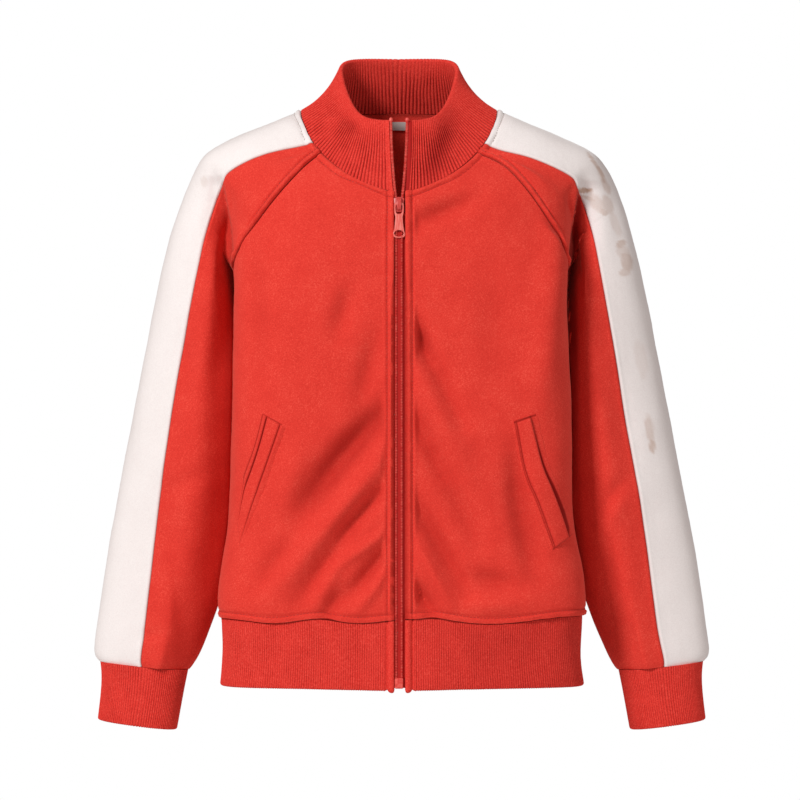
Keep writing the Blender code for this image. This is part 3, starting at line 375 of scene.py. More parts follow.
def unevenness(points, size, seed):
    """Smooth waves of about that size in all directions, from -1 to 1."""
    draw = np.random.default_rng(seed)
    total = np.zeros(points.shape[:-1])
    for _ in range(7):
        direction = draw.normal(size=3)
        direction *= 2 * math.pi / size / np.linalg.norm(direction) * draw.uniform(0.6, 1.4)
        total += np.sin(points @ direction + draw.uniform(0, 2 * math.pi))
    return total / 4


def from_edges(grid):
    """The distance along the cloth from a grid's first and last columns and its two ends."""
    across = np.linalg.norm(np.diff(grid, axis=1), axis=-1)
    down = np.linalg.norm(np.diff(grid, axis=0), axis=-1)
    first = np.concatenate([np.zeros((len(grid), 1)), np.cumsum(across, axis=1)], axis=1)
    top = np.concatenate([np.zeros((1, grid.shape[1])), np.cumsum(down, axis=0)], axis=0)
    return {"first": first, "last": first[:, -1:] - first, "top": top, "bottom": top[-1:] - top}


# How high the cloth stands beside each kind of seam, by the distance from it.
PLAIN_SEAM = ((0.0, -1.2), (0.7, -0.5), (1.8, 0.25), (3.4, 0.15), (5.0, 0.0))
DITCH = ((0.0, -1.6), (0.5, -1.1), (1.2, -0.35), (2.6, 0.0))
UNDERARM_SEAM = ((0.0, -0.4), (1.0, -0.1), (2.0, 0.0))
ROLLED_SEAM = (
    (0.0, -1.6), (0.5, 0.6), (1.4, 2.1), (2.6, 2.5), (3.8, 1.8), (4.8, 0.3), (5.6, -0.7),
    (6.7, -0.2), (9.0, 0.0),
)
NECK_SEAM = (
    (0.0, -1.6), (0.7, 0.2), (1.8, 1.2), (4.4, 1.2), (5.8, 0.2), (6.7, -0.8), (7.8, -0.2),
    (10.0, 0.0),
)
ZIP_TURN = (
    (0.0, -1.2), (0.25, 0.1), (0.8, 1.3), (2.4, 1.9), (4.2, 1.5), (5.6, 0.3), (6.6, -0.9),
    (7.8, -0.25), (10.5, 0.0),
)
HEM_TURN = (
    (0.0, -1.8), (0.7, 0.5), (1.7, 1.4), (3.2, 1.2), (4.6, 1.1), (5.5, -0.2), (6.3, -0.8),
    (8.5, 0.0),
)


def relief(grid, edges):
    """How high the seams at its edges raise or sink the cloth, and how much painted shade lies in them."""
    reach = from_edges(grid)
    raised, sunk = np.zeros(grid.shape[:2]), np.zeros(grid.shape[:2])
    pucker = 1 + 0.3 * unevenness(grid, 9.0, 3)
    for edge, profile in edges.items():
        table = np.array(profile)
        height = spline(table[:, 0], table[:, 1], np.clip(reach[edge], 0, table[-1, 0]))
        raised = np.maximum(raised, height * pucker)
        sunk = np.minimum(sunk, height)
    # Painted shade where the seam sinks deepest.
    return raised + sunk, np.clip(-0.6 - sunk, 0, 1)


def linear(hex_colour):
    """An sRGB hex colour as linear light."""
    parts = [int(hex_colour[i : i + 2], 16) / 255 for i in (1, 3, 5)]
    return (*(c / 12.92 if c <= 0.04045 else ((c + 0.055) / 1.055) ** 2.4 for c in parts), 1.0)


def add(tree, kind, settings=None, **inputs):
    """A shader node with its settings, and each input set to a value or linked to a socket."""
    node = tree.nodes.new(kind)
    for name, value in (settings or {}).items():
        setattr(node, name, value)
    for name, value in inputs.items():
        socket = node.inputs[int(name[1:])] if name[0] == "_" else node.inputs[name.replace("_", " ")]
        if isinstance(value, bpy.types.NodeSocket):
            tree.links.new(value, socket)
        else:
            socket.default_value = value
    return node


def new_material(name, **settings):
    """A material whose shader has these settings, with its node tree and that shader."""
    material = bpy.data.materials.new(name)
    material.use_nodes = True
    shader = material.node_tree.nodes["Principled BSDF"]
    for key, value in settings.items():
        shader.inputs[key.replace("_", " ")].default_value = value
    return material, material.node_tree, shader


def ramp(tree, value, *stops):
    """A colour ramp of (place, colour) stops, read at the value."""
    node = add(tree, "ShaderNodeValToRGB", _0=value)
    elements = node.color_ramp.elements
    for index, (place, colour) in enumerate(stops):
        element = elements[index] if index < 2 else elements.new(place)
        element.position, element.color = place, linear(colour)
    return node.outputs[0]


def coloured(tree, shader, value, *stops):
    """Colours the shader by a ramp of (place, colour) stops, read at the value."""
    tree.links.new(ramp(tree, value, *stops), shader.inputs["Base Color"])


def bumped(tree, shader, height, strength, distance):
    """Raises the shader's surface by a pattern, by so many millimetres."""
    bump = add(tree, "ShaderNodeBump", Strength=strength, Distance=distance * MM, Height=height)
    tree.links.new(bump.outputs[0], shader.inputs["Normal"])


# Brushed cotton and polyester sweatshirt knit: matt, with a short raised nap. Dyed fibres that
# take the colour unevenly give it a heathered speckle about as coarse as its stitches, 1 mm.
STITCH_SIZE = 1.1 * MM
NAP_SIZE = 0.5 * MM


def fleece(name, deep, main, pale, fluff, painted_shade):
    """Sweatshirt knit between three shades, with the colours of its nap and of the painted shade in its seams
    and folds.
    """
    material, tree, shader = new_material(
        name, Roughness=0.92, Specular_IOR_Level=0.15, Sheen_Weight=0.34, Sheen_Roughness=0.42
    )
    shader.inputs["Sheen Tint"].default_value = linear(fluff)
    place = add(tree, "ShaderNodeTexCoord").outputs["Object"]
    speckle = add(tree, "ShaderNodeTexNoise", Vector=place, Scale=1 / STITCH_SIZE, Detail=3.0, Roughness=0.7)
    cloud = add(tree, "ShaderNodeTexNoise", Vector=place, Scale=38.0, Detail=4.0, Roughness=0.6)
    both = add(tree, "ShaderNodeMix", {"data_type": "FLOAT"}, Factor=0.22)
    tree.links.new(speckle.outputs[0], both.inputs[2])
    tree.links.new(cloud.outputs[0], both.inputs[3])
    colour = ramp(tree, both.outputs[0], (0.32, deep), (0.72, pale), (0.52, main))
    nap = add(tree, "ShaderNodeTexNoise", Vector=place, Scale=1 / NAP_SIZE, Detail=2.0)
    height = add(tree, "ShaderNodeMath", {"operation": "ADD"}, _0=speckle.outputs[0], _1=nap.outputs[0])
    bumped(tree, shader, height.outputs[0], 0.35, 0.3)
    # This attribute mixes in a painted shade colour where seams, crease bottoms and pocket mouths lie in
    # shade.
    in_painted_shade = add(tree, "ShaderNodeAttribute", {"attribute_name": "painted_shade"}).outputs["Fac"]
    in_stain = add(tree, "ShaderNodeAttribute", {"attribute_name": "stain"}).outputs["Fac"]
    for amount, shade in ((in_stain, STAIN), (in_painted_shade, painted_shade)):
        layer = add(tree, "ShaderNodeMix", {"data_type": "RGBA"})
        layer.inputs[7].default_value = linear(shade)
        tree.links.new(amount, layer.inputs[0])
        tree.links.new(colour, layer.inputs[6])
        colour = layer.outputs[2]
    tree.links.new(colour, shader.inputs["Base Color"])
    return material


STAIN = "#A06420"
# The last colour is the painted shade, a deep red, for seams, crease bottoms and pocket mouths.
red_fleece = fleece("red_brushed_fleece", "#C93027", "#DC3A2F", "#EE5A4A", "#FF9E8C", "#860704")


def cloth(name, base, height, thickness, material, side=LEFT, step=4, layers=None, straight_back=0.0):
    """A sheet as a closed wall: a fine outer face, a coarser inner one and the edges between."""
    inward = inward_normals(base) * side
    outer = base - inward * height[..., None]
    back = inward + straight_back * ((0.0, 1.0, 0.0) - inward)
    inner = (base + back * thickness)[::step, ::step]
    order = slice(None, None, side)
    outer, inner = outer[:, order], inner[:, order]
    rows, columns = outer.shape[:2]
    at = np.arange(rows * columns).reshape(rows, columns)
    behind = rows * columns + np.arange(inner.shape[0] * inner.shape[1]).reshape(inner.shape[:2])
    faces = quads(at).tolist() + quads(behind)[:, ::-1].tolist()
    rims = (
        (at[0], behind[0]),
        (at[-1, ::-1], behind[-1, ::-1]),
        (at[::-1, 0], behind[::-1, 0]),
        (at[:, -1], behind[:, -1]),
    )
    for fine, coarse in rims:
        for j in range(len(coarse) - 1):
            faces.append([*fine[step * j : step * j + step + 1].tolist(), int(coarse[j + 1]), int(coarse[j])])
    vertices = np.concatenate([outer.reshape(-1, 3), inner.reshape(-1, 3)]) * MM
    return finished(name, vertices, faces, material, layers, order)


def finished(name, vertices, faces, material, layers=None, order=slice(None)):
    """A piece from its mesh, smoothly shaded, with its layers of values, riding on the jacket."""
    mesh = bpy.data.meshes.new(name)
    mesh.from_pydata(vertices.tolist(), [], faces)
    for layer, values in (layers or {}).items():
        stored = mesh.attributes.new(layer, "FLOAT", "POINT")
        filled = np.zeros(len(vertices), np.float32)
        filled[: values.size] = values[:, order].ravel()
        stored.data.foreach_set("value", filled)
    mesh.materials.append(material)
    piece = bpy.data.objects.new(name, mesh)
    bpy.context.scene.collection.objects.link(piece)
    bpy.context.view_layer.objects.active = piece
    piece.select_set(True)
    bpy.ops.object.shade_smooth_by_angle(angle=math.radians(55))
    piece.select_set(False)
    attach(piece, "jacket")
    return piece


def stands_for(piece, node, slot, **cut):
    """Hides the frame's node that the piece stands in place of; the piece, its slot and the cut are not used.
    """
    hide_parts(node)


def creased(grid, side, creases):
    """The grid pushed in along its normals by the creases that face its way, and gently uneven."""
    inward = inward_normals(grid) * side
    facing = {"front": smooth(0.0, 0.5, inward[..., 1]), "back": smooth(0.0, 0.5, -inward[..., 1])}
    depth = sum(facing[way] * crease_depth(grid, table) for way, table in creases.items())
    depth = depth + 0.35 * unevenness(grid, 46.0, 11)
    return grid + inward * depth[..., None]


def in_folds(grid, creases):
    """How far each point of a front lies in the shade of a fold's bottom."""
    return np.clip(crease_depth(grid, creases) / 10.0, 0, 1) ** 1.3 * smooth(0.0, -20.0, grid[..., 1])


# Topstitching in spun polyester thread, a shade darker than the cloth, each stitch a short dash
# that lies in the groove it has pulled into the nap.
STITCH_PITCH, STITCH_LENGTH, THREAD = 3.1, 2.3, 0.3  # from stitch to stitch, long, half thick
THREADS = {}
for colour_name, shade in (("red", "#B9281F"), ("white", "#BDB2AD")):
    thread, tree, shader = new_material(f"{colour_name}_polyester_thread", Roughness=0.55)
    shader.inputs["Base Color"].default_value = linear(shade)
    THREADS[colour_name] = thread


def stitches(name, base, height, side, edge, distance, colour="red", around=6):
    """A row of stitches along an edge of a sheet, at a distance from it."""
    outer = base - (inward_normals(base) * side) * height[..., None]
    out = -inward_normals(outer) * side
    reach = from_edges(base)[edge]
    if edge in ("top", "bottom"):
        outer, out, reach = outer.swapaxes(0, 1), out.swapaxes(0, 1), reach.T
    if edge in ("last", "bottom"):
        outer, out, reach = outer[:, ::-1], out[:, ::-1], reach[:, ::-1]
    line, lift = (
        np.array([[np.interp(distance, r, row[:, axis]) for axis in range(3)] for r, row in zip(reach, grid)])
        for grid in (outer, out)
    )
    length = np.concatenate([[0], np.cumsum(np.linalg.norm(np.diff(line, axis=0), axis=-1))])
    places = np.arange(distance, length[-1] - distance, STITCH_PITCH)
    at, ahead, up = (
        np.stack([np.interp(places + more, length, values[:, axis]) for axis in range(3)], axis=-1)
        for values, more in ((line, 0.0), (line, 0.5), (lift, 0.0))
    )
    ahead = ahead - at
    ahead /= np.linalg.norm(ahead, axis=-1, keepdims=True)
    beside = np.cross(ahead, up)
    turns = np.linspace(0, 2 * math.pi, around, endpoint=False)
    rings = ((-0.5, 0.15), (-0.36, 0.9), (0.0, 1.1), (0.36, 0.9), (0.5, 0.15))
    points = [
        at + ahead * share * STITCH_LENGTH + THREAD * wide * (beside * math.cos(t) + up * math.sin(t))
        for share, wide in rings
        for t in turns
    ]
    points = np.stack(points, axis=1) + 0.12 * up[:, None]
    index = np.arange(len(rings) * around).reshape(len(rings), around)
    index = closed_round(index)
    corners = (index[:-1, :-1], index[:-1, 1:], index[1:, 1:], index[1:, :-1])
    shape = [*np.stack(corners, axis=-1).reshape(-1, 4).tolist()]
    shape += [index[0, :-1][::-1].tolist(), index[-1, :-1].tolist()]
    faces = repeated(shape, len(rings) * around, len(points))
    return finished(name, points.reshape(-1, 3) * MM, faces, THREADS[colour])


YOKE_ROWS, FRONT_ROWS_BELOW, FRONT_COLUMNS = 96, 232, 125
BACK_ROWS_BELOW, BACK_COLUMNS = 176, 201
TORSO_CREASES = {"front": FRONT_CREASES, "back": BACK_CREASES}


def zip_edge(side, drops):
    turn = body_turn(side * ZIP_EDGE[side] + 0 * drops, drops, "front")
    return np.stack([turn, drops], -1)


fronts = {}
for side, name in SIDES.items():
    seam = raglan(side, np.linspace(0, ARMPIT_ROW, YOKE_ROWS + 1), "front")
    start = math.asin((ZIP_EDGE[side] / NECK_HALF_WIDTH) ** (NECK_SQUARENESS / 2))
    dense = side * np.linspace(start, math.radians(SLEEVE_NECK_TURNS[0]), 600)
    neck_turns = evenly(neck(dense), dense, FRONT_COLUMNS, CLOSE)
    drops = np.linspace(-neck(neck_turns[:1])[0, 2], ARMPIT, YOKE_ROWS + 1)
    base = torso_panel(zip_edge(side, drops), seam, neck_turns, "front", FRONT_ROWS_BELOW)
    base[:, 0, 0] = side * ZIP_EDGE[side]
    to_edges = from_edges(base)
    flat_by_zip = (smooth(7.4, 13.0, to_edges["first"]) * smooth(0.5, 11.0, to_edges["last"]))[..., None]
    base = base + (creased(base, side, TORSO_CREASES) - base) * flat_by_zip
    fronts[side] = base
    edges = {"first": ZIP_TURN, "last": DITCH, "top": NECK_SEAM, "bottom": HEM_TURN}
    # Painted shade: dark in the bottoms of the seams and, more softly, of the creases.
    height, painted_shade = relief(base, edges)
    height += 0.1 * unevenness(base, 7.0, 5)
    painted_shade = np.maximum(painted_shade, 0.4 * in_folds(base, FRONT_CREASES) * flat_by_zip[..., 0])
    piece = cloth(f"front_{name}_cloth", base, height, FLEECE, red_fleece, side, layers={"painted_shade": painted_shade})
    for edge, distance in (("first", 6.7), ("top", 6.7), ("bottom", 6.3)):
        stitches(f"front_{name}_{edge}_stitches", base, height, side, edge, distance)
    rests = (f"zip_tape_{name}",)
    stands_for(piece, f"front_{name}", "red_fleece", flat=(0.21, 0.44), rests_on=rests, area=0.074)

seams = [raglan(side, np.linspace(0, ARMPIT_ROW, YOKE_ROWS + 1), "back") for side in (LEFT, RIGHT)]
back_end = math.radians(SLEEVE_NECK_TURNS[-1])
dense = np.linspace(back_end, 2 * math.pi - back_end, 900)
neck_turns = evenly(neck(dense), dense, BACK_COLUMNS, CLOSE)
back_base = torso_panel(*seams, neck_turns, "back", BACK_ROWS_BELOW)
back_base = creased(back_base, LEFT, TORSO_CREASES)
edges = {"first": DITCH, "last": DITCH, "top": NECK_SEAM, "bottom": HEM_TURN}
# Painted shade in the bottoms of the back's seams.
height, painted_shade = relief(back_base, edges)
piece = cloth("back_cloth", back_base, height, FLEECE, red_fleece, layers={"painted_shade": painted_shade})
for edge, distance in (("top", 6.7), ("bottom", 6.3)):
    stitches(f"back_{edge}_stitches", back_base, height, LEFT, edge, distance)
rests = ("front_right_cloth", "front_left_cloth")
stands_for(piece, "back", "red_fleece", flat=(0.4, 0.48), rests_on=rests, area=0.165)

# ---------------------------------------------------------------------------------------------
# The sleeves: on each, a red front and back panel and a white stripe over the shoulder and down
# the arm. The raglan seams are rolled towards the sleeve and topstitched, and under the arm
# the cloth folds over itself, so that the front overhangs the arm.
BACK_STRIPE_REACH, BACK_SWELL_REACH = 0.8, 0.95
ROUNDING = (0.74, 0.36, 0.74)
CLEARANCE = 1.2
SLEEVE_CREASES = {
    "front": (
        (-160.0, 196.0, -170.0, 262.0, 12.0, 2.5),
        (-193.5, 200.0, -191.0, 262.0, 9.0, 2.0),
        (-211.0, 350.0, -196.0, 494.0, 10.0, 3.5),
        (-176.0, 330.0, -208.0, 352.0, 10.0, 2.5),
        (-214.0, 478.0, -240.0, 486.0, 6.0, 1.5),
        (-172.0, 282.0, -188.0, 420.0, 13.0, -2.5),
        (-243.0, 300.0, -236.0, 420.0, 14.0, 1.5),
        (-170.0, 55.0, -169.0, 76.0, 3.5, 1.8),
        (166.0, 96.0, 173.0, 190.0, 9.0, 3.0),
        (186.0, 366.0, 206.0, 340.0, 9.0, 3.5),
        (204.0, 352.0, 190.0, 384.0, 7.0, -2.0),
        (190.0, 400.0, 203.0, 496.0, 10.0, 3.0),
        (211.0, 470.0, 214.0, 500.0, 6.0, 2.5),
        (196.0, 250.0, 214.0, 330.0, 12.0, 2.0),
        (170.0, 62.0, 175.0, 84.0, 6.0, 2.0),
        (194.0, 72.0, 204.0, 130.0, 8.0, 1.5),
    ),
    "back": (
        (-158.0, 110.0, -190.0, 190.0, 12.0, 3.0),
        (-176.0, 330.0, -214.0, 360.0, 11.0, 3.0),
        (-186.0, 420.0, -204.0, 496.0, 10.0, 3.0),
        (160.0, 116.0, 196.0, 204.0, 12.0, 3.0),
        (182.0, 340.0, 220.0, 366.0, 11.0, 3.0),
        (192.0, 430.0, 208.0, 498.0, 10.0, 3.0),
    ),
}
# Where the cloth folds over beside the armpit: the fold's edge, and how far it overhangs.
OVERHANG = {
    RIGHT: (
        # drop, x, depth
        (62.0, 160.0, 0.0), (70.0, 159.0, 5.0), (84.0, 156.6, 10.0), (110.0, 152.0, 15.0),
        (135.0, 149.6, 17.0), (160.0, 150.0, 15.0), (230.0, 151.0, 9.0), (330.0, 152.0, 4.0),
        (480.0, 160.0, 0.0),
    ),
    LEFT: (
        (66.0, 164.5, 0.0), (75.0, 163.0, 7.0), (90.0, 160.5, 12.0), (110.0, 156.8, 17.0),
        (135.0, 153.8, 17.0), (160.0, 154.0, 14.0), (230.0, 155.0, 7.0), (330.0, 156.0, 5.0),
        (480.0, 166.0, 0.0),
    ),
}


def sleeve_guides(side, rows):
    """Lines along the sleeve: front seam, swell, stripe, outermost, and the same behind."""
    at = sleeve_rows(side, rows)
    outer = np.stack([side * at["outer_x"], at["outer_y"], -at["outer_drop"]], axis=-1)
    stripe = np.stack([side * at["stripe_x"], at["stripe_y"], -at["stripe_drop"]], axis=-1)
    stripe_back = stripe + np.stack([0 * rows, 0 * rows, at["lift"] / 2], axis=-1)
    behind = (1 + BACK_STRIPE_REACH) * (at["outer_y"] - at["stripe_y"])
    stripe_back[:, 1] = at["stripe_y"] + behind
    seams = []
    for facing in ("front", "back"):
        seam = section(*raglan(side, rows, facing).T, BODY)
        under = np.stack([side * at["seam_x"], at["outer_y"], -at["seam_drop"]], axis=-1)
        under[:, 1] *= np.clip(rows - ARMPIT_ROW, 0, 1)
        seams.append(np.where((rows > ARMPIT_ROW)[:, None], under, seam))
    swell = (seams[0] + stripe) / 2
    swell[:, 1] = at["swell_y"]
    swell_back = (seams[1] + stripe_back) / 2
    swell_back[:, 1] = at["outer_y"] + BACK_SWELL_REACH * (at["outer_y"] - at["swell_y"])
    return np.stack([seams[0], swell, stripe, outer, stripe_back, swell_back, seams[1]])


def clear_of_body(points, side, clearance):
    """Moves points of a sleeve out to where they just clear the body's side."""
    drop = np.clip(-points[..., 2], ARMPIT, HEM_SEAM)
    reach = section(np.full(drop.shape, side * math.pi / 2), drop, BODY)
    front = section(np.zeros(drop.shape), drop, BODY)[..., 1]
    back = section(np.full(drop.shape, math.pi), drop, BODY)[..., 1]
    squareness = squareness_at(drop, points[..., 1] < 0)
    share = np.clip(points[..., 1] / np.where(points[..., 1] < 0, front, back), 0, 1) ** squareness
    least = np.abs(reach[..., 0]) * (1 - share) ** (1 / squareness) + clearance
    points[..., 0] = side * np.maximum(side * points[..., 0], least)
    return points


def sleeve(side, rows, columns):
    """The outer face of the sleeve: rows run down it, columns go round by its guides."""
    guides = sleeve_guides(side, rows)
    closed = np.clip(rows - ARMPIT_ROW, 0, 1)[:, None]
    before = (1 - closed) * (2 * guides[0] - guides[1]) + closed * guides[-2]
    after = (1 - closed) * (2 * guides[-1] - guides[-2]) + closed * guides[1]
    round_front = guides[2] + ROUNDING * (guides[3] - guides[2])
    round_back = guides[4] + ROUNDING * (guides[3] - guides[4])
    lines = [before, *guides[:3], round_front, guides[3], round_back, *guides[4:], after]
    grid = spline((-1, 0, 1, 2, 2.5, 3, 3.5, 4, 5, 6, 7), np.stack(lines), columns).swapaxes(0, 1)
    neck_turns = spline(np.arange(7), np.radians(SLEEVE_NECK_TURNS), columns)
    neck_line = neck(side * neck_turns)
    settle = np.clip(1 - rows, 0, 1)[:, None, None] ** 2
    grid += settle * (neck_line - grid[0])
    below = rows > ARMPIT_ROW
    clearance = CLEARANCE * np.clip(rows - ARMPIT_ROW, 0, 1)[below]
    grid[below] = clear_of_body(grid[below], side, clearance[:, None])
    return grid


# How dark the bottom of that fold is, where the light from the left reaches in or not.
FOLD_SHADE = {RIGHT: (0.3, 8.0), LEFT: (0.9, 9.0)}


def fold_shade(grid, side):
    """How deep in the fold's shade each point of the sleeve's front lies."""
    drop, edge_x, depth = np.array(OVERHANG[side]).T
    at = -grid[..., 2]
    beyond = side * grid[..., 0] - np.interp(at, drop, edge_x)
    dark, wide = FOLD_SHADE[side]
    deep = np.clip(np.interp(at, drop, depth) / 8.0, 0, 1) * (at > drop[0])
    wide = wide * smooth(drop[0] - 30.0, drop[0] + 45.0, at)
    shade = smooth(-0.3, 0.9, beyond) * smooth(wide + 2.5, wide - 3.5, beyond)
    return dark * deep * shade * (grid[..., 1] < 8)


def by_fold(grid, side):
    """Which part of the sleeve's front has its wall set straight back, beside the fold."""
    drop, edge_x, _ = np.array(OVERHANG[side]).T
    at = -grid[..., 2]
    beyond = side * grid[..., 0] - np.interp(at, drop, edge_x)
    return smooth(-12.0, -3.0, beyond) * smooth(40.0, 24.0, beyond) * smooth(drop[0] - 6, drop[0] + 4, at)


def overhung(grid, side):
    """Sets the arm back beside the fold's edge, so that the front stands over it."""
    drop, edge_x, depth = np.array(OVERHANG[side]).T
    at = -grid[..., 2]
    beyond = side * grid[..., 0] - np.interp(at, drop, edge_x)
    deep = np.interp(at, drop, depth) * (at > drop[0])
    facing = smooth(20.0, -4.0, grid[..., 1])
    step_back = smooth(-0.4, 1.8, beyond) * np.exp(-(np.maximum(beyond, 0) / 20.0) ** 2)
    roll = 0.2 * np.exp(-(((beyond + 4.0) / 5.0) ** 2)) * (at < ARMPIT)
    grid[..., 1] += facing * deep * (step_back - roll)
    return grid


# Marks on the white cloth, seen from the front: brown ones on the wearer's left shoulder and
# above the elbow, and a faint yellow one on the right shoulder.
STAINS = {
    RIGHT: (
        # x, drop, half length, half width, lean in degrees, strength
        (-178.0, 67.5, 3.0, 4.5, 0.0, 0.16),
    ),
    LEFT: (
        (169.5, 75.5, 6.0, 2.0, 4.0, 0.8),
        (173.0, 82.5, 6.0, 1.5, -20.0, 0.45),
        (177.0, 47.5, 8.0, 1.5, -56.0, 0.5),
        (184.5, 60.0, 9.0, 1.7, -64.0, 0.6),
        (189.0, 70.0, 8.0, 3.0, -66.0, 0.35),
        (180.0, 86.0, 9.0, 5.0, -55.0, 0.28),
        (191.0, 88.0, 8.0, 4.5, -65.0, 0.3),
        (187.0, 95.0, 4.0, 2.4, -40.0, 0.4),
        (198.0, 106.0, 11.0, 3.5, -70.0, 0.2),
        (203.0, 124.0, 5.0, 2.8, 30.0, 0.45),
        (205.0, 131.0, 7.0, 5.0, -60.0, 0.25),
        (208.5, 140.0, 8.0, 5.0, -72.0, 0.42),
        (206.5, 150.0, 5.0, 3.2, 20.0, 0.34),
        (229.0, 293.0, 11.0, 3.6, -82.0, 0.32),
        (231.5, 309.0, 6.0, 2.4, -82.0, 0.5),
        (222.0, 230.0, 16.0, 5.0, -80.0, 0.12),
    ),
}


def stained(grid, marks):
    """How much of a mark the cloth shows at each point of its front, blotchy and soft."""
    amount = np.zeros(grid.shape[:2])
    for x, drop, half_length, half_width, lean, strength in marks:
        away = grid[..., [0, 2]] - (x, -drop)
        turn = math.radians(lean)
        along = away @ (math.cos(turn), math.sin(turn)) / half_length
        across = away @ (-math.sin(turn), math.cos(turn)) / half_width
        ring = along**2 + across**2 + 0.35 * unevenness(grid, 7.0, 23)
        darker_rim = 0.75 + 0.25 * smooth(0.2, 1.0, ring)
        amount = np.maximum(amount, strength * smooth(2.0, 0.4, ring) * darker_rim)
    return amount * (grid[..., 1] < 12)


SLEEVE_ROWS, PANEL_COLUMNS = 345, 57
WALL = {"front": 1.1, "stripe": FLEECE, "back": FLEECE}
SLEEVE_CUT = {
    "front": {"flat": (0.11, 0.52), "area": 0.037},
    "stripe": {"flat": (0.16, 0.56), "area": 0.062},
    "back": {"flat": (0.12, 0.54), "area": 0.041},
}
SLEEVE_SLOT = {"front": "red_fleece", "stripe": "white_fleece", "back": "red_fleece"}
# The last colour is a greyish painted shade for the stripe's seams.
white_fleece = fleece("white_brushed_fleece", "#E5DEDC", "#EBE5E3", "#F0EBE9", "#FFFFFF", "#9A8B86")

panels = (
    ("front", 0, {"first": ROLLED_SEAM, "last": PLAIN_SEAM, "top": NECK_SEAM}),
    ("stripe", 2, {"first": PLAIN_SEAM, "last": PLAIN_SEAM, "top": NECK_SEAM}),
    ("back", 4, {"first": PLAIN_SEAM, "last": ROLLED_SEAM, "top": NECK_SEAM}),
)
for side, name in SIDES.items():
    dense = np.linspace(0, len(SLEEVE) - 1, 1200)
    middle_line = sleeve_guides(side, dense)[[0, 2, 3]].mean(axis=0)
    rows = evenly(middle_line, dense, SLEEVE_ROWS)
    raglan_rows = int(np.searchsorted(rows, ARMPIT_ROW))
    places = 2 * shares(PANEL_COLUMNS, CLOSE)[1:]
    whole = sleeve(side, rows, np.concatenate([[0], places, 2 + places, 4 + places]))
    whole = overhung(creased(whole, side, SLEEVE_CREASES), side)
    for panel, start, edges in panels:
        first = start // 2 * (PANEL_COLUMNS - 1)
        base = whole[:, first : first + PANEL_COLUMNS]
        # Painted shade in the bottoms of the seams.
        height, painted_shade = relief(base, edges)
        if panel != "stripe":
            seam_edge = "first" if panel == "front" else "last"
            below = smooth(ARMPIT_ROW - 0.3, ARMPIT_ROW, rows)[:, None]
            flat_height, flat_painted_shade = relief(base, {**edges, seam_edge: UNDERARM_SEAM})
            height += below * (flat_height - height)
            painted_shade += below * (flat_painted_shade - painted_shade)
        height += 0.1 * unevenness(base, 7.0, 5)
        material = white_fleece if panel == "stripe" else red_fleece
        # On the front panel, painted shade in the bottom of the fold beside the armpit.
        if panel == "front":
            painted_shade = np.maximum(painted_shade, fold_shade(base, side))
        layers = {"painted_shade": painted_shade}
        if panel == "stripe":
            layers["stain"] = stained(base, STAINS[side])
        straight_back = by_fold(base, side)[..., None] if panel == "front" else 0.0
        sheet = f"sleeve_{panel}_{name}_cloth"
        piece = cloth(sheet, base, height, WALL[panel], material, side, 2, layers, straight_back)
        thread_colour = "white" if panel == "stripe" else "red"
        stitches(f"sleeve_{panel}_{name}_top_stitches", base, height, side, "top", 6.7, thread_colour)
        if panel != "stripe":
            part = slice(0, raglan_rows - 6)
            stitches(f"sleeve_{panel}_{name}_raglan_stitches", base[part], height[part], side, seam_edge, 5.6)
        rests = (f"front_{name}_cloth",)
        stands_for(piece, f"sleeve_{panel}_{name}", SLEEVE_SLOT[panel], rests_on=rests, **SLEEVE_CUT[panel])

# ---------------------------------------------------------------------------------------------
# The rib-knit bands: stand collar, hem band and cuffs, each a strip of 1 x 1 rib doubled over at
# its free edge, so that the ribs run up the outer face, over the fold and down inside.
COLLAR_TOP = (
    # turn, x, y, z of the folded edge
    (0.0, 0.0, -53.0, -13.5),
    (30.0, 29.0, -47.0, -10.5),
    (60.0, 44.0, -30.0, 4.0),
    (90.0, 53.0, -8.0, 27.0),
    (120.0, 54.5, 14.0, 44.0),
    (150.0, 37.0, 31.0, 50.5),
    (180.0, 0.0, 38.0, 51.0),
)
COLLAR_DENTS = (
    # x, drop, x, drop, half width, how deep
    (49.0, 8.0, 25.0, 70.0, 10.0, 1.0),
    (-38.0, 22.0, -52.0, 12.0, 5.0, 0.5),
)
COLLAR_WALL, HEM_WALL, CUFF_WALL = 4.6, 3.6, 3.6
COLLAR_HOLLOW = 2.0
COIL_PATH = (
    # drop, x: each row of coil above the slider
    (16.0, 7.3),
    (45.0, 6.3),
    (65.0, 4.9),
    (80.0, 3.5),
    (86.0, 2.9),
    (91.0, 2.6),
)
COLLAR_END_GAP = {RIGHT: 1.7, LEFT: 5.2}
HEM = (
    (465.0, 162.0, 167.0, 84.5, 91.5),
    (490.0, 161.0, 166.0, 84.0, 90.5),
    (525.0, 163.5, 169.0, 85.0, 92.0),
)
CUFF = (
    # outer_x, outer_drop, inner_x, inner_drop, front, back
    (275.5, 507.4, 194.5, 515.4, -18.0, 35.0),
    (274.5, 528.0, 199.0, 538.0, -17.0, 34.0),
    (278.0, 562.0, 205.0, 571.5, -18.0, 33.0),
)
LEFT_CUFF_SHIFT = (5.0, 8.0)
CUFF_SQUARENESS = 2.2
RIBS = {"collar": 150, "hem": 420, "cuff": 112}
ACROSS_A_RIB = {"collar": 7, "hem": 6, "cuff": 6}
RIB_DEPTH = {"collar": 1.15, "hem": 0.55, "cuff": 0.6}
RIB_SHADE = {"collar": 1.0, "hem": 0.55, "cuff": 0.6}  # how dark the furrows are
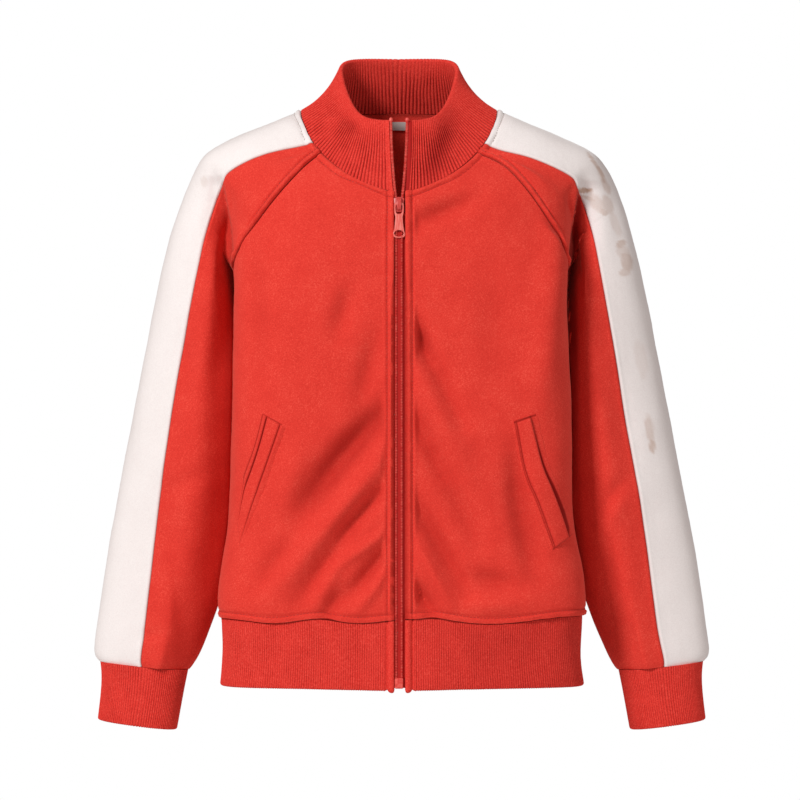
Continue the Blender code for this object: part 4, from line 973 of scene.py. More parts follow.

# Rib knit from the same red yarn: the ribs stand up, and the furrows between lie in shade, which
# is painted into them as a deeper colour.
rib_knit, tree, shader = new_material(
    "red_rib_knit", Roughness=0.9, Specular_IOR_Level=0.15, Sheen_Weight=0.15, Sheen_Roughness=0.5
)
shader.inputs["Sheen Tint"].default_value = linear("#FF8A78")
place = add(tree, "ShaderNodeTexCoord").outputs["Object"]
painted_furrow_shade = add(tree, "ShaderNodeAttribute", {"attribute_name": "painted_furrow_shade"}).outputs["Fac"]
yarn = add(tree, "ShaderNodeTexNoise", Vector=place, Scale=1 / STITCH_SIZE, Detail=3.0, Roughness=0.65)
crest = ramp(tree, yarn.outputs[0], (0.3, "#C62C25"), (0.72, "#F0574B"), (0.52, "#DF3B31"))
painted_valley_shade = ramp(tree, yarn.outputs[0], (0.3, "#700605"), (0.7, "#A01412"))
colour = add(tree, "ShaderNodeMix", {"data_type": "RGBA"})
for socket, value in ((0, painted_furrow_shade), (6, crest), (7, painted_valley_shade)):
    tree.links.new(value, colour.inputs[socket])
tree.links.new(colour.outputs[2], shader.inputs["Base Color"])
bumped(tree, shader, yarn.outputs[0], 0.4, 0.3)


def doubled_over(outer, wall, fold_rows=5, inner_rows=9):
    """The band's two layers as one sheet: down its outer face, round the fold and back up."""
    inward = inward_normals(outer)
    down = outer[-1] - outer[-2]
    down /= np.linalg.norm(down, axis=-1, keepdims=True)
    middle = outer[-1] + inward[-1] * wall / 2
    turns = np.linspace(0, math.pi, fold_rows + 2)[1:-1, None, None]
    fold = middle + (down * np.sin(turns) - inward[-1] * np.cos(turns)) * wall / 2
    places = np.linspace(len(outer) - 1, 0, inner_rows)
    inner = spline(np.arange(len(outer)), outer + inward * wall, places)
    return np.concatenate([outer, fold, inner])


def ribbed(name, sheet, kind, phase_from, closed=False, pressed=None, shade=0.0):
    """A doubled band with its ribs, as one closed mesh."""
    rows, columns = sheet.shape[:2]
    outward = -inward_normals(sheet, closed)
    phase = phase_from + 0.1 * unevenness(sheet, 26.0, 17)
    crest = np.abs(np.sin(math.pi * phase)) ** 0.8
    strength = np.ones((rows, columns)) if pressed is None else pressed
    strength = strength * (1 + 0.25 * unevenness(sheet, 14.0, 29))
    shaped = sheet + outward * (RIB_DEPTH[kind] * strength * (crest - 1))[..., None]
    # Painted shade in the furrows between the ribs, with any further painted shade given.
    painted_furrow_shade = np.clip(RIB_SHADE[kind] * strength * (1 - crest) ** 1.5 + shade, 0, 1)
    at = np.arange(rows * columns).reshape(rows, columns)
    if closed:
        at = closed_round(at)
    faces = quads(at).tolist()
    faces += np.stack([at[-1, :-1], at[0, :-1], at[0, 1:], at[-1, 1:]], axis=-1).tolist()
    if not closed:
        faces += [at[::-1, 0].tolist(), at[:, -1].tolist()]
    return finished(name, shaped.reshape(-1, 3) * MM, faces, rib_knit, {"painted_furrow_shade": painted_furrow_shade})


def coil_x(drop):
    table = np.array(COIL_PATH)
    return spline(table[:, 0], table[:, 1], np.clip(drop, table[0, 0], table[-1, 0]))


def collar_face(turns, rows):
    """The collar's outer face, from the neck seam up to where it folds over."""
    table = np.array(COLLAR_TOP)
    half_turns = np.degrees(np.minimum(turns, 2 * math.pi - turns))
    top = spline(table[:, 0], table[:, 1:], half_turns)
    top[:, 0] *= np.where(turns > math.pi, RIGHT, LEFT)
    top[:, 2] -= 1.8
    bottom = neck(turns)
    shares = np.linspace(0, 1, rows)[:, None, None]
    grid = bottom + shares * (top - bottom)
    outward = bottom * (1, 1, 0)
    outward /= np.linalg.norm(outward, axis=-1, keepdims=True)
    grid -= COLLAR_HOLLOW * np.sin(math.pi * shares) * outward
    return grid


collar_ends = [
    math.asin((ZIP_EDGE[side] / NECK_HALF_WIDTH) ** (NECK_SQUARENESS / 2)) for side in (LEFT, RIGHT)
]
dense = np.linspace(collar_ends[0], 2 * math.pi - collar_ends[1], 1500)
middle_line = collar_face(dense, 3)[0]
count = RIBS["collar"] * ACROSS_A_RIB["collar"] + 1
turns = evenly(middle_line, dense, count)
face = collar_face(turns, 17)
for column, side in ((0, LEFT), (-1, RIGHT)):
    lean = coil_x(-face[:, column, 2]) + COLLAR_END_GAP[side] - side * face[:, column, 0]
    share = np.exp(-np.abs(face[:, :, 0] - face[:, column : column + 1 or None, 0][:, :1]) / 9.0)
    near = share * (np.sign(face[:, :, 0] + 0.001 * side) == side) * (face[:, :, 1] < 0)
    face[:, :, 0] += side * near * lean[:, None]
collar_edge = face[:, 0]
sheet = doubled_over(face[:, ::-1], COLLAR_WALL, fold_rows=5, inner_rows=13)
from_left_end, from_right_end = (from_edges(sheet)[edge] for edge in ("first", "last"))
pressed = 0.15 + 0.85 * smooth(3.0, 4.2, from_left_end)
pressed *= 1 + 0.5 * np.exp(-((from_right_end / 14.0) ** 2))
dent = crease_depth(sheet, COLLAR_DENTS) * (sheet[..., 1] < -12)
pressed *= 1 + 0.3 * dent
sheet[..., 1] += 2.5 * dent
from_foot = from_edges(sheet)["top"]
pressed *= 0.35 + 0.65 * smooth(4.0, 26.0, np.abs(from_foot - from_foot[19]))
phase = np.broadcast_to(np.arange(count) / ACROSS_A_RIB["collar"], sheet.shape[:2])
# The collar's dent gets a painted shade in its ribs as well as its hollow.
collar_piece = ribbed("collar_rib", sheet, "collar", phase, pressed=pressed, shade=0.6 * dent)
stands_for(collar_piece, "collar", "red_rib", flat=(0.37, 0.098), rests_on=("back_cloth",))

start_turns = [math.asin((ZIP_EDGE[side] / HEM[0][1]) ** (SQUARENESS[1] / 2)) for side in (LEFT, RIGHT)]
way = np.linspace(-1, 1, 3000)
dense = [start + (math.pi - start) * (1 - np.abs(way)) ** (SQUARENESS[1] / 2) for start in start_turns]
dense = np.where(way < 0, dense[0], 2 * math.pi - dense[1])
count = RIBS["hem"] * ACROSS_A_RIB["hem"] + 1
turns = evenly(section(dense, np.full(3000, 490.0), HEM), dense, count)
drops = np.linspace(HEM_SEAM, HEM_EDGE - HEM_WALL / 2, 11)[:, None] + 0 * turns
face = section(np.broadcast_to(turns, drops.shape), drops, HEM)
face[:, 0, 0], face[:, -1, 0] = ZIP_EDGE[LEFT], -ZIP_EDGE[RIGHT]
upper = np.linspace(1, 0, 11)[:, None] ** 2
face[..., 2] -= upper * hem_wave(face[..., 0])
lower_by_zip = 2.2 * np.exp(-((face[..., 0] / 75.0) ** 2)) * (face[..., 1] < 0)
face[..., 2] -= np.linspace(0, 1, 11)[:, None] ** 2 * lower_by_zip
off_zip = smooth(10, 24, np.abs(face[..., :1]))
face += inward_normals(face) * (0.9 * unevenness(face, 48.0, 41))[..., None] * off_zip
hem_edge = face[:, 0]
sheet = doubled_over(face, HEM_WALL, fold_rows=4, inner_rows=4)
from_zip = np.minimum(*(from_edges(sheet)[edge] for edge in ("first", "last")))
pressed = smooth(5.0, 8.0, from_zip)
height = spline(*np.array(ZIP_TURN).T, np.clip(from_zip, 0, ZIP_TURN[-1][0]))
sheet = sheet - inward_normals(sheet) * height[..., None]
phase = np.broadcast_to(np.arange(count) / ACROSS_A_RIB["hem"], sheet.shape[:2])
# Painted shade on the front of the hem band, deeper towards the wearer's left, away from the key lamp.
shade = 0.22 * smooth(0.0, 90.0, sheet[..., 0]) * (sheet[..., 1] < 0)
hem_piece = ribbed("hem_band_rib", sheet, "hem", phase, pressed=pressed, shade=shade)
stands_for(hem_piece, "hem_band", "red_rib", flat=(0.74, 0.11), rests_on=("back_cloth",))

for side, name in SIDES.items():
    table = np.array(CUFF)
    if side == LEFT:
        table[:, 0] += LEFT_CUFF_SHIFT[0]
        table[:, 2] += LEFT_CUFF_SHIFT[1]
    rings = spline(np.arange(len(CUFF)), table, np.linspace(0, len(CUFF) - 1 - 0.08, 12))
    count = RIBS["cuff"] * ACROSS_A_RIB["cuff"]
    turns = np.linspace(0, 2 * math.pi, count, endpoint=False)
    across = signed_power(np.cos(turns), 2 / CUFF_SQUARENESS)
    along = signed_power(np.sin(turns), 2 / CUFF_SQUARENESS)
    outer_x, outer_drop, inner_x, inner_drop, front, back = (c[:, None] for c in rings.T)
    x = (outer_x + inner_x) / 2 + side * across * (outer_x - inner_x) / 2
    drop = (outer_drop + inner_drop) / 2 + side * across * (outer_drop - inner_drop) / 2
    y = (front + back) / 2 + along * (back - front) / 2
    face = np.stack([side * x, y, -drop], axis=-1)
    wrapped = np.concatenate([face[:, -1:], face, face[:, :1]], axis=1)
    sheet = doubled_over(wrapped, CUFF_WALL, fold_rows=4, inner_rows=4)[:, 1:-1]
    phase = np.broadcast_to(np.arange(count) / ACROSS_A_RIB["cuff"], sheet.shape[:2])
    piece = ribbed(f"cuff_{name}_rib", sheet, "cuff", phase, closed=True)
    rests = (f"sleeve_front_{name}_cloth",)
    stands_for(piece, f"cuff_{name}", "red_rib", flat=(0.16, 0.1), rests_on=rests)

# ---------------------------------------------------------------------------------------------
# The pockets: a slanted welt on each front, a strip of the same fleece folded double and stitched
# down along its inner side. Its outer side is the open mouth, with a painted shadow, where the hand goes in.
POCKETS = {
    RIGHT: {
        "mouth": ((117.4, 280.6), (126.6, 314.0), (134.6, 336.3), (139.4, 351.0), (146.5, 384.0)),
        "seam": ((105.4, 287.0), (117.7, 322.0), (124.8, 341.7), (135.0, 371.0), (144.6, 400.5)),
        "across": (
            # distance inwards from the mouth, height, how dark the painted shade is
            (-7.5, -0.9, 0.0), (-6.4, 0.3, 0.0), (-5.2, 0.6, 0.15), (-4.5, 0.35, 0.75),
            (-3.8, 0.9, 0.1), (-2.4, 1.4, 0.0), (-1.2, 1.1, 0.2), (-0.5, 0.2, 0.95),
            (0.1, 0.3, 0.9), (0.7, 1.6, 0.1), (1.4, 2.1, 0.0), (5.0, 1.9, 0.0), (10.3, 1.8, 0.0),
            (11.3, 1.3, 0.15), (12.1, 0.3, 0.8), (12.9, 1.0, 0.15), (14.4, 1.6, 0.0),
            (16.0, 0.9, 0.0), (17.6, 0.2, 0.0), (18.6, -0.9, 0.0),
        ),
        "top": ((0.0, -0.9, 0.0), (0.8, 0.35, 0.7), (1.7, 0.8, 0.2), (2.8, 1.0, 0.0)),
        "foot": ((0.0, -0.4, 0.0), (6.0, 0.25, 0.0), (24.0, 0.55, 0.0), (48.0, 1.0, 0.0)),
        "gape": ((0.0, 0.0), (1.0, 0.0)),
    },
    LEFT: {
        "mouth": ((117.2, 279.6), (126.3, 316.7), (132.9, 336.3), (140.3, 354.2), (152.8, 392.0)),
        "seam": ((104.0, 283.8), (113.0, 327.0), (120.4, 348.0), (126.3, 362.5), (140.0, 401.0)),
        "across": (
            (-7.5, -0.9, 0.0), (-6.4, 0.15, 0.0), (-5.0, 0.3, 0.0), (-0.4, 0.35, 0.3),
            (0.1, 0.6, 0.8), (0.6, 2.4, 0.1), (1.5, 3.1, 0.0), (5.0, 2.6, 0.0), (10.2, 2.0, 0.0),
            (11.2, 1.4, 0.2), (11.8, 0.4, 0.8), (12.5, 1.1, 0.1), (13.1, 0.5, 0.7),
            (13.9, 0.7, 0.1), (15.6, 0.2, 0.0), (16.8, -0.9, 0.0),
        ),
        "top": (
            (0.0, -0.9, 0.0), (0.7, 0.4, 0.9), (1.5, 0.8, 0.1), (2.3, 0.45, 0.9), (3.2, 0.9, 0.1),
            (4.5, 1.0, 0.0),
        ),
        "foot": ((0.0, -0.9, 0.0), (0.8, 0.4, 0.9), (1.8, 0.9, 0.1), (4.0, 1.0, 0.0)),
        "gape": ((0.0, 0.3), (0.25, 0.9), (0.5, 2.2), (0.8, 4.2), (0.93, 3.4), (1.0, 0.5)),
    },
}
WELT_COLUMNS, WELT_ROWS = 105, 145
WELT_LAYER, SEAM_AT = 1.2, 12.2

for side, name in SIDES.items():
    pocket = POCKETS[side]
    mouth, seam = (np.array(pocket[line]) for line in ("mouth", "seam"))
    along = np.linspace(0, len(mouth) - 1, WELT_ROWS)
    mouth_line = spline(np.arange(len(mouth)), mouth, along)[:, None]
    seam_line = spline(np.arange(len(seam)), seam, along)[:, None]
    place, height, dark = np.array(pocket["across"]).T
    across = np.linspace(place[-1], place[0], WELT_COLUMNS)
    middle = (seam_line - mouth_line) / np.linalg.norm(seam_line - mouth_line, axis=-1, keepdims=True)
    wide = np.linalg.norm(seam_line - mouth_line, axis=-1)
    reach = np.where(across < 0, across, np.minimum(across, SEAM_AT) * wide / SEAM_AT)
    reach += np.maximum(across - SEAM_AT, 0)
    flat = mouth_line + middle * reach[..., None]
    x, drop = side * flat[..., 0], flat[..., 1]
    on_front = section(body_turn(x, drop, "front"), drop, BODY)
    on_front = creased(on_front, side, TORSO_CREASES)
    steps = np.linalg.norm(np.diff(mouth_line[:, 0], axis=0), axis=-1)
    from_top = np.concatenate([[0], np.cumsum(steps)])[:, None]
    from_foot = from_top[-1] - from_top
    top, foot = np.array(pocket["top"]).T, np.array(pocket["foot"]).T
    raised = np.interp(across, place, height) * np.ones((WELT_ROWS, 1))
    ends = np.minimum(np.interp(from_top, *top[:2]), np.interp(from_foot, *foot[:2]))
    raised = np.where(raised > 0, raised * ends, np.minimum(raised, ends))
    # Painted shade: dark lines in the slit and the seam grooves, and a painted shadow where the mouth gapes.
    edge_painted_shade = np.maximum(np.interp(from_top, top[0], top[2]), np.interp(from_foot, foot[0], foot[2]))
    within = (across > -5.0) & (across < 14.0)
    gape = np.interp(from_top / from_top[-1], *np.array(pocket["gape"]).T)
    shadow = smooth(-gape - 1.2, -gape + 0.6, across) * (across < 0.3) * np.clip(gape, 0, 1)
    painted_shade = np.interp(across, place, dark) * np.clip(ends, 0, 1)
    painted_shade = np.clip(np.maximum(np.maximum(painted_shade, edge_painted_shade * within), 0.95 * shadow), 0, 1)
    raised += 0.12 * unevenness(on_front, 16.0, 8)
    layers, welt = {"painted_shade": painted_shade}, f"pocket_welt_{name}"
    piece = cloth(f"{welt}_cloth", on_front, raised, WELT_LAYER, red_fleece, side, layers=layers)
    rests = (f"front_{name}_cloth",)
    stands_for(piece, welt, "red_fleece", flat=(0.026, 0.125), rests_on=rests)

# ---------------------------------------------------------------------------------------------
# The zip: two woven tapes behind the turned edges, each with a coil of nylon sewn along it. Below
# the slider the two coils are closed into a chain, above it they part up to the stops.
COIL_PITCH = 1.4
CHAIN_TOP, BOX_TOP = 92.5, 515.5
BEAD_COLUMN = 2.45  # each row of closed coils, from the middle
CORD_WALL, TAPE_WALL = 1.0, 0.6
TAPE_TOP, TAPE_OUTER, TAPE_DEPTH = 14.5, 12.0, 2.8
TAPE_LEAN = {RIGHT: (0.0, 0.0, 0.0), LEFT: (1.2, 1.9, 0.0)}  # forward at the neck, from its inner edge out
CORD = (
    # x, how far behind the cloth's face: the coils' cord, and the tapes that show beside it
    (-5.0, 1.9), (-3.9, 1.7), (-3.4, 1.0), (-3.0, 0.6), (-1.2, 0.6), (0.0, 0.9), (1.2, 0.6),
    (3.0, 0.6), (3.4, 1.0), (3.9, 1.7), (6.4, 1.9),
)

nylon, tree, shader = new_material("red_nylon_coil", Roughness=0.42, Specular_IOR_Level=0.4)
place = add(tree, "ShaderNodeTexCoord").outputs["Object"]
wear = add(tree, "ShaderNodeTexNoise", Vector=place, Scale=1 / (3 * MM), Detail=2.0)
coloured(tree, shader, wear.outputs[0], (0.35, "#D23A34"), (0.7, "#EE6A5E"))

# Plain-woven polyester: flat, with fine cross ribs about 0.6 mm apart.
tape_cloth, tree, shader = new_material("red_woven_tape", Roughness=0.8, Specular_IOR_Level=0.25)
place = add(tree, "ShaderNodeTexCoord").outputs["Object"]
crossways = {"bands_direction": "Z"}
weave = add(tree, "ShaderNodeTexWave", crossways, Vector=place, Scale=0.5 / (0.6 * MM), Distortion=0.6)
coloured(tree, shader, weave.outputs[0], (0.2, "#A01210"), (0.8, "#BE231E"))
bumped(tree, shader, weave.outputs[0], 0.4, 0.1)

edge_line = np.concatenate([collar_edge, fronts[LEFT][1:, 0], hem_edge[1:]])[:, 1:]
edge_line = edge_line[np.argsort(-edge_line[:, 1])]


def front_y(drop):
    """The outer face of the cloth beside the zip."""
    return np.interp(drop, -edge_line[:, 1], edge_line[:, 0])


def beads(name, centres, radii, material, rings=4, around=8):
    """Small rounded beads of one size at the centres given, as one mesh."""
    heights = np.linspace(-1, 1, rings + 2)[1:-1]
    turns = np.linspace(0, 2 * math.pi, around, endpoint=False)
    ring = np.sqrt(1 - heights**2)[:, None]
    unit = np.stack(
        [heights[:, None] + 0 * turns, ring * np.cos(turns), ring * np.sin(turns)], axis=-1
    ).reshape(-1, 3)
    unit = np.concatenate([unit, [(-1, 0, 0), (1, 0, 0)]]) * radii
    at = closed_round(np.arange(rings * around).reshape(rings, around))
    low = np.stack([at[0, 1:], 0 * at[0, 1:] + rings * around, at[0, :-1]], axis=-1)
    high = np.stack([at[-1, :-1], 0 * at[0, 1:] + rings * around + 1, at[-1, 1:]], axis=-1)
    shape = [*quads(at)[:, ::-1].tolist(), *low.tolist(), *high.tolist()]
    vertices = (np.asarray(centres)[:, None] + unit).reshape(-1, 3) * MM
    return finished(name, vertices, repeated(shape, len(unit), len(centres)), material)


def strip(name, lines, wall, material):
    """A ribbon whose outer face runs through the lines given, side by side."""
    grid = np.stack(lines, axis=1)
    return cloth(name, grid, np.zeros(grid.shape[:2]), wall, material, step=1)


drops = np.arange(CHAIN_TOP + 1.0, BOX_TOP, COIL_PITCH)
rows = [
    np.stack([0 * drops + column * BEAD_COLUMN, front_y(drops + shift) + 0.2, -drops - shift], -1)
    for column, shift in ((RIGHT, 0.0), (LEFT, COIL_PITCH / 2))
]
closed_coils = beads("zip_chain_coils", np.concatenate(rows), (1.05, 0.85, 0.52), nylon)
drops = np.linspace(CHAIN_TOP, BOX_TOP, 150)
lines = [np.stack([0 * drops + x, front_y(drops) + back, -drops], axis=-1) for x, back in CORD]
chain_cord = strip("zip_chain_cord", lines, CORD_WALL, tape_cloth)
rests = ("zip_tape_left_weave",)
stands_for(chain_cord, "zip_chain", "zip_coil", flat=(0.0125, 0.43), rests_on=rests, area=0.005)

for side, name in SIDES.items():
    drops = np.arange(16.0, 85.0, COIL_PITCH)
    centres = np.stack([side * coil_x(drops), front_y(drops) + 0.9, -drops], axis=-1)
    coil = beads(f"zip_coil_{name}_turns", centres, (1.55, 1.25, 0.78), nylon)
    stands_for(coil, f"zip_coil_{name}", "zip_coil")
    top = centres[0] + (0.0, -0.1, 2.4)
    stop = beads(f"zip_top_stop_{name}_cap", [top], (1.75, 1.35, 2.3), nylon, rings=8, around=16)
    stands_for(stop, f"zip_top_stop_{name}", "zip_coil")
    drops = np.linspace(TAPE_TOP, HEM_EDGE - 0.5, 160)
    inner = np.where(drops < CHAIN_TOP, coil_x(np.clip(drops, 16, 91)) - 0.3, 0.4)
    lean = np.clip((NECK_DIP - drops) / 30.0, 0, 1)
    lines = []
    for across, ahead in zip((0.0, 0.3, 1.0), TAPE_LEAN[side]):
        x, y = side * (inner + across * (TAPE_OUTER - inner)), front_y(drops) + TAPE_DEPTH - lean * ahead
        lines.append(np.stack([x, y, -drops], axis=-1))
    tape = strip(f"zip_tape_{name}_weave", lines[::side], TAPE_WALL, tape_cloth)
    rests = (f"front_{name}_cloth",)
    stands_for(tape, f"zip_tape_{name}", "zip_tape", flat=(0.0125, 0.52), rests_on=rests)

# ---------------------------------------------------------------------------------------------
# The slider, its pull tab and the box at the foot: small castings with rounded edges, painted in
# a red paler than the cloth. The tab hangs from the crown by its ring.


def baked_paint(name, deep, pale):
    """Baked paint on zinc: smooth and slightly shiny, with fine lines along it where it has worn."""
    material, tree, shader = new_material(name, Roughness=0.36, Specular_IOR_Level=0.5)
    place = add(tree, "ShaderNodeTexCoord").outputs["Object"]
    grain = add(tree, "ShaderNodeMapping", Vector=place)
    grain.inputs["Scale"].default_value = (1.0, 1.0, 0.06)
    lines = add(tree, "ShaderNodeTexNoise", Vector=grain.outputs[0], Scale=1 / (0.7 * MM), Detail=2.0)
    coloured(tree, shader, lines.outputs[0], (0.35, deep), (0.68, pale))
    bumped(tree, shader, lines.outputs[0], 0.25, 0.12)
    return material


# The slider's paint is a deeper copy of the tab's: painted shade for its wings, which lie in shade.
shaded_slider_paint = baked_paint("red_baked_paint", "#B8332F", "#D9514A")
pull_paint = baked_paint("pale_red_baked_paint", "#DB544B", "#F28A7E")


def rounded_casting(name, node, width, material, slot):
    """The frame's casting with its flat faces made whole and its edges rounded."""
    casting = frame["nodes"][node].copy()
    casting.data = frame["nodes"][node].data.copy()
    casting.name = name
    casting.parent = None
    for key in list(casting.keys()):
        del casting[key]
    bpy.context.scene.collection.objects.link(casting)
    shape = bmesh.new()
    shape.from_mesh(casting.data)
    bmesh.ops.remove_doubles(shape, verts=shape.verts, dist=0.01 * MM)
    limit = math.radians(2)
    bmesh.ops.dissolve_limit(shape, angle_limit=limit, verts=shape.verts, edges=shape.edges)
    shape.to_mesh(casting.data)
    shape.free()
    casting.data.materials.clear()
    casting.data.materials.append(material)
    bevel = casting.modifiers.new("rounded", "BEVEL")
    bevel.width = width * MM
    bevel.segments = 2
    bevel.angle_limit = math.radians(35)
    bpy.context.view_layer.objects.active = casting
    casting.select_set(True)
    bpy.ops.object.modifier_apply(modifier="rounded")
    bpy.ops.object.shade_smooth_by_angle(angle=math.radians(40))
    casting.select_set(False)
    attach(casting, "jacket")
    stands_for(casting, node, slot)


rounded_casting("zip_slider_casting", "zip_slider", 0.35, shaded_slider_paint, "painted_slider")
rounded_casting("zip_bottom_box_casting", "zip_bottom_box", 0.6, nylon, "zip_coil")

# The pull tab: stamped from sheet metal, a thin ring that runs through the crown and a tab that
# widens to its foot, with an oval hole in it and a raised rim round the hole.
TAB_SIDE = (
    # half width, distance down from the hinge
    (0.0, -0.8), (2.2, -0.72), (3.6, -0.1), (4.05, 1.3), (4.1, 5.0), (3.95, 8.0), (3.4, 10.2),
    (2.95, 11.6), (3.0, 13.5), (3.45, 18.0), (4.1, 23.0), (4.9, 26.0), (5.4, 27.4), (5.2, 28.6),
    (4.0, 29.7), (2.2, 30.4), (0.0, 30.6),
)
RING_SIDE = ((0.0, 0.8), (2.2, 0.95), (3.1, 2.2), (3.3, 5.0), (3.0, 7.6), (2.0, 9.1), (0.0, 9.6))
TAB_HOLE = (4.4, 3.15, 26.7)  # half width, half length, middle
TAB_WALL, TAB_EDGE = 1.1, 0.25
hinge = np.array(frame["joints"][0]["pos_m"]) / MM
points = np.array([v.co for v in frame["nodes"]["zip_pull"].data.vertices]) / MM
tip = points[np.argmin(points[:, 2])]
down = np.array([0.0, tip[1] - hinge[1], tip[2] - hinge[2]])
down /= np.linalg.norm(down)
out = np.array([0.0, down[2], -down[1]])
out *= -np.sign(out[1])

plate = bpy.data.curves.new("pull_tab_outline", "CURVE")
plate.dimensions, plate.fill_mode = "2D", "BOTH"
plate.extrude = (TAB_WALL / 2 - TAB_EDGE) * MM
plate.bevel_depth, plate.bevel_resolution = TAB_EDGE * MM, 2
loops = []
for side_line in (TAB_SIDE, RING_SIDE):
    line = spline(np.arange(len(side_line)), side_line, np.linspace(0, len(side_line) - 1, 40))
    loops.append(np.concatenate([line, (line * (-1, 1))[-2:0:-1]]))
turns = np.linspace(0, 2 * math.pi, 48, endpoint=False)
half_width, half_length, middle = TAB_HOLE
loops.append(np.stack([half_width * np.cos(turns), middle + half_length * np.sin(turns)], axis=-1))
for loop in loops:
    outline = plate.splines.new("POLY")
    outline.points.add(len(loop) - 1)
    outline.use_cyclic_u = True
    for point, (x, y) in zip(outline.points, loop * MM):
        point.co = (x, y, 0.0, 1.0)
pull = bpy.data.objects.new("zip_pull_casting", plate)
bpy.context.scene.collection.objects.link(pull)
bpy.context.view_layer.objects.active = pull
pull.select_set(True)
bpy.ops.object.convert(target="MESH")
for vertex in pull.data.vertices:
    x, along, up = np.array(vertex.co) / MM
    vertex.co = (hinge + (x, 0, 0) + along * down + up * out) * MM
shape = bmesh.new()
shape.from_mesh(pull.data)
bmesh.ops.remove_doubles(shape, verts=shape.verts, dist=0.005 * MM)
bmesh.ops.recalc_face_normals(shape, faces=shape.faces)
shape.to_mesh(pull.data)
shape.free()
pull.data.materials.append(pull_paint)
bpy.ops.object.shade_smooth_by_angle(angle=math.radians(40))
pull.select_set(False)
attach(pull, "pull_tab")
stands_for(pull, "zip_pull", "painted_slider")

RIM = 0.32  # half the thickness of the rim's bead
round_it = turns[:, None]
tube = np.linspace(0, 2 * math.pi, 10, endpoint=False)
across = (half_width + 0.25 + RIM * np.cos(tube)) * np.cos(round_it)
lengthways = middle + (half_length + 0.25 + RIM * np.cos(tube)) * np.sin(round_it)
lift = TAB_WALL / 2 + RIM * np.sin(tube) + 0 * round_it
rim = hinge + lengthways[..., None] * down + lift[..., None] * out
rim[..., 0] += across
at = np.arange(rim.size // 3).reshape(rim.shape[:2])
at = closed_round(np.concatenate([at, at[:1]]))
piece = finished("pull_tab_rim", rim.reshape(-1, 3) * MM, quads(at).tolist(), pull_paint)
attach(piece, "pull_tab")

# ---------------------------------------------------------------------------------------------
# Inside the back neck: a smooth tape that covers the seam, and a small plain woven label.
NECK_TAPE_TURNS, NECK_TAPE_WIDTH = (128.0, 232.0), 8.5
LABEL_X, LABEL_DROP = (15.0, -8.0), (4.0, 11.5)
label_cloth, tree, shader = new_material("greyish_woven_label", Roughness=0.75, Specular_IOR_Level=0.3)
place = add(tree, "ShaderNodeTexCoord").outputs["Object"]
weave = add(tree, "ShaderNodeTexWave", Vector=place, Scale=0.5 / (0.5 * MM), Distortion=0.4)
coloured(tree, shader, weave.outputs[0], (0.2, "#B9AEA9"), (0.8, "#D6CCC7"))


def inside_back(x, drop, off):
    """Points on the inner face of the back, standing off it by so much."""
    x, drop = np.broadcast_arrays(x, drop)
    points = section(body_turn(x, drop, "back"), drop, BODY)
    return points + inward_normals(points) * off


neck_turns = np.radians(np.linspace(*NECK_TAPE_TURNS, 61))
seam = neck(neck_turns)
width = np.linspace(0, 1, 9)[:, None]
crown = 0.9 * np.sin(math.pi * width) ** 0.6
tape_grid = inside_back(seam[:, 0], -seam[:, 2] + 1.2 + NECK_TAPE_WIDTH * width, 4.6)
height = -crown + 0 * tape_grid[..., 0]
tape = cloth("neck_tape_cloth", tape_grid, height, 0.8, red_fleece, RIGHT, step=1)
stands_for(tape, "neck_tape", "red_fleece", flat=(0.17, 0.01), rests_on=("back_cloth",))
label_x = np.linspace(*LABEL_X, 25)
label_drop = np.linspace(*LABEL_DROP, 17)[:, None]
down_label = (label_drop - LABEL_DROP[0]) / (LABEL_DROP[1] - LABEL_DROP[0])
label_grid = inside_back(label_x, label_drop, 4.2 + 0.5 * np.sin(math.pi * down_label)[..., None])
label = cloth("neck_label_cloth", label_grid, 0 * label_grid[..., 0], 0.5, label_cloth, step=1)
rests = ("back_cloth",)
stands_for(label, "neck_label", "label_cloth", flat=(0.023, 0.01), rests_on=rests, area=0.00018)

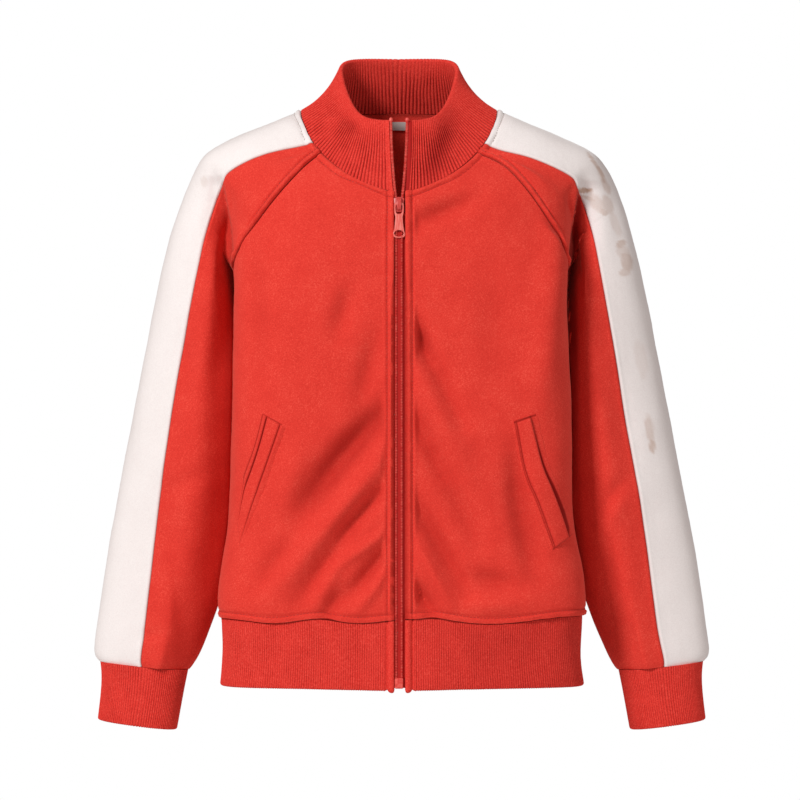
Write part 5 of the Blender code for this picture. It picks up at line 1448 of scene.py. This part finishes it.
# ---------------------------------------------------------------------------------------------
# The camera stands level with the middle of the jacket, straight in front. The floor is a pale
# disc below it, the light is broad and soft, brightest from the left of the picture.
CAMERA_AWAY, PICTURE_WIDTH, SENSOR = 3.0, 0.736, 36.0  # metres, metres across the origin, millimetres
camera = bpy.data.objects.new("camera", bpy.data.cameras.new("camera"))
camera.location = (0.00092, -CAMERA_AWAY, -0.2668)
camera.rotation_euler = (math.pi / 2, 0.0, 0.0)
camera.data.lens = SENSOR * CAMERA_AWAY / PICTURE_WIDTH
camera.data.sensor_width = SENSOR
bpy.context.scene.collection.objects.link(camera)
bpy.context.scene.camera = camera

bpy.ops.mesh.primitive_circle_add(vertices=96, radius=0.8, fill_type="NGON", location=(0, 0, -0.77))
floor = bpy.context.active_object
floor.name = "floor"
floor_paint, tree, shader = new_material("pale_matt_paper", Roughness=0.9)
shader.inputs["Base Color"].default_value = linear("#F2F1EF")
floor.data.materials.append(floor_paint)

# The white paper behind the jacket shows as white, and gives it back about a third of its light,
# warmed.
world = bpy.data.worlds.new("white_studio")
world.use_nodes = True
tree = world.node_tree
seen = add(tree, "ShaderNodeLightPath").outputs["Is Camera Ray"]
given_back = add(tree, "ShaderNodeMix", {"data_type": "RGBA"}, _0=seen)
given_back.inputs[6].default_value = (0.33, 0.287, 0.272, 1.0)
given_back.inputs[7].default_value = (1.0, 1.0, 1.0, 1.0)
tree.links.new(given_back.outputs[2], tree.nodes["Background"].inputs["Color"])
bpy.context.scene.world = world
LAMPS = (
    # name, place, size, power
    ("key", (-1.72, -2.26, 1.25), 0.7, 81.0),
    ("fill", (1.9, -1.9, 0.1), 1.0, 13.0),
)
for name, place, size, power in LAMPS:
    lamp = bpy.data.objects.new(name, bpy.data.lights.new(name, "AREA"))
    lamp.data.size, lamp.data.energy = size, power
    lamp.location = place
    aim = np.array((0.0, 0.0, -0.27)) - place
    tilt = math.acos(-aim[2] / np.linalg.norm(aim))
    lamp.rotation_euler = (tilt, 0.0, math.atan2(aim[1], aim[0]) - math.pi / 2)
    bpy.context.scene.collection.objects.link(lamp)
bpy.context.scene.view_settings.view_transform = "Standard"
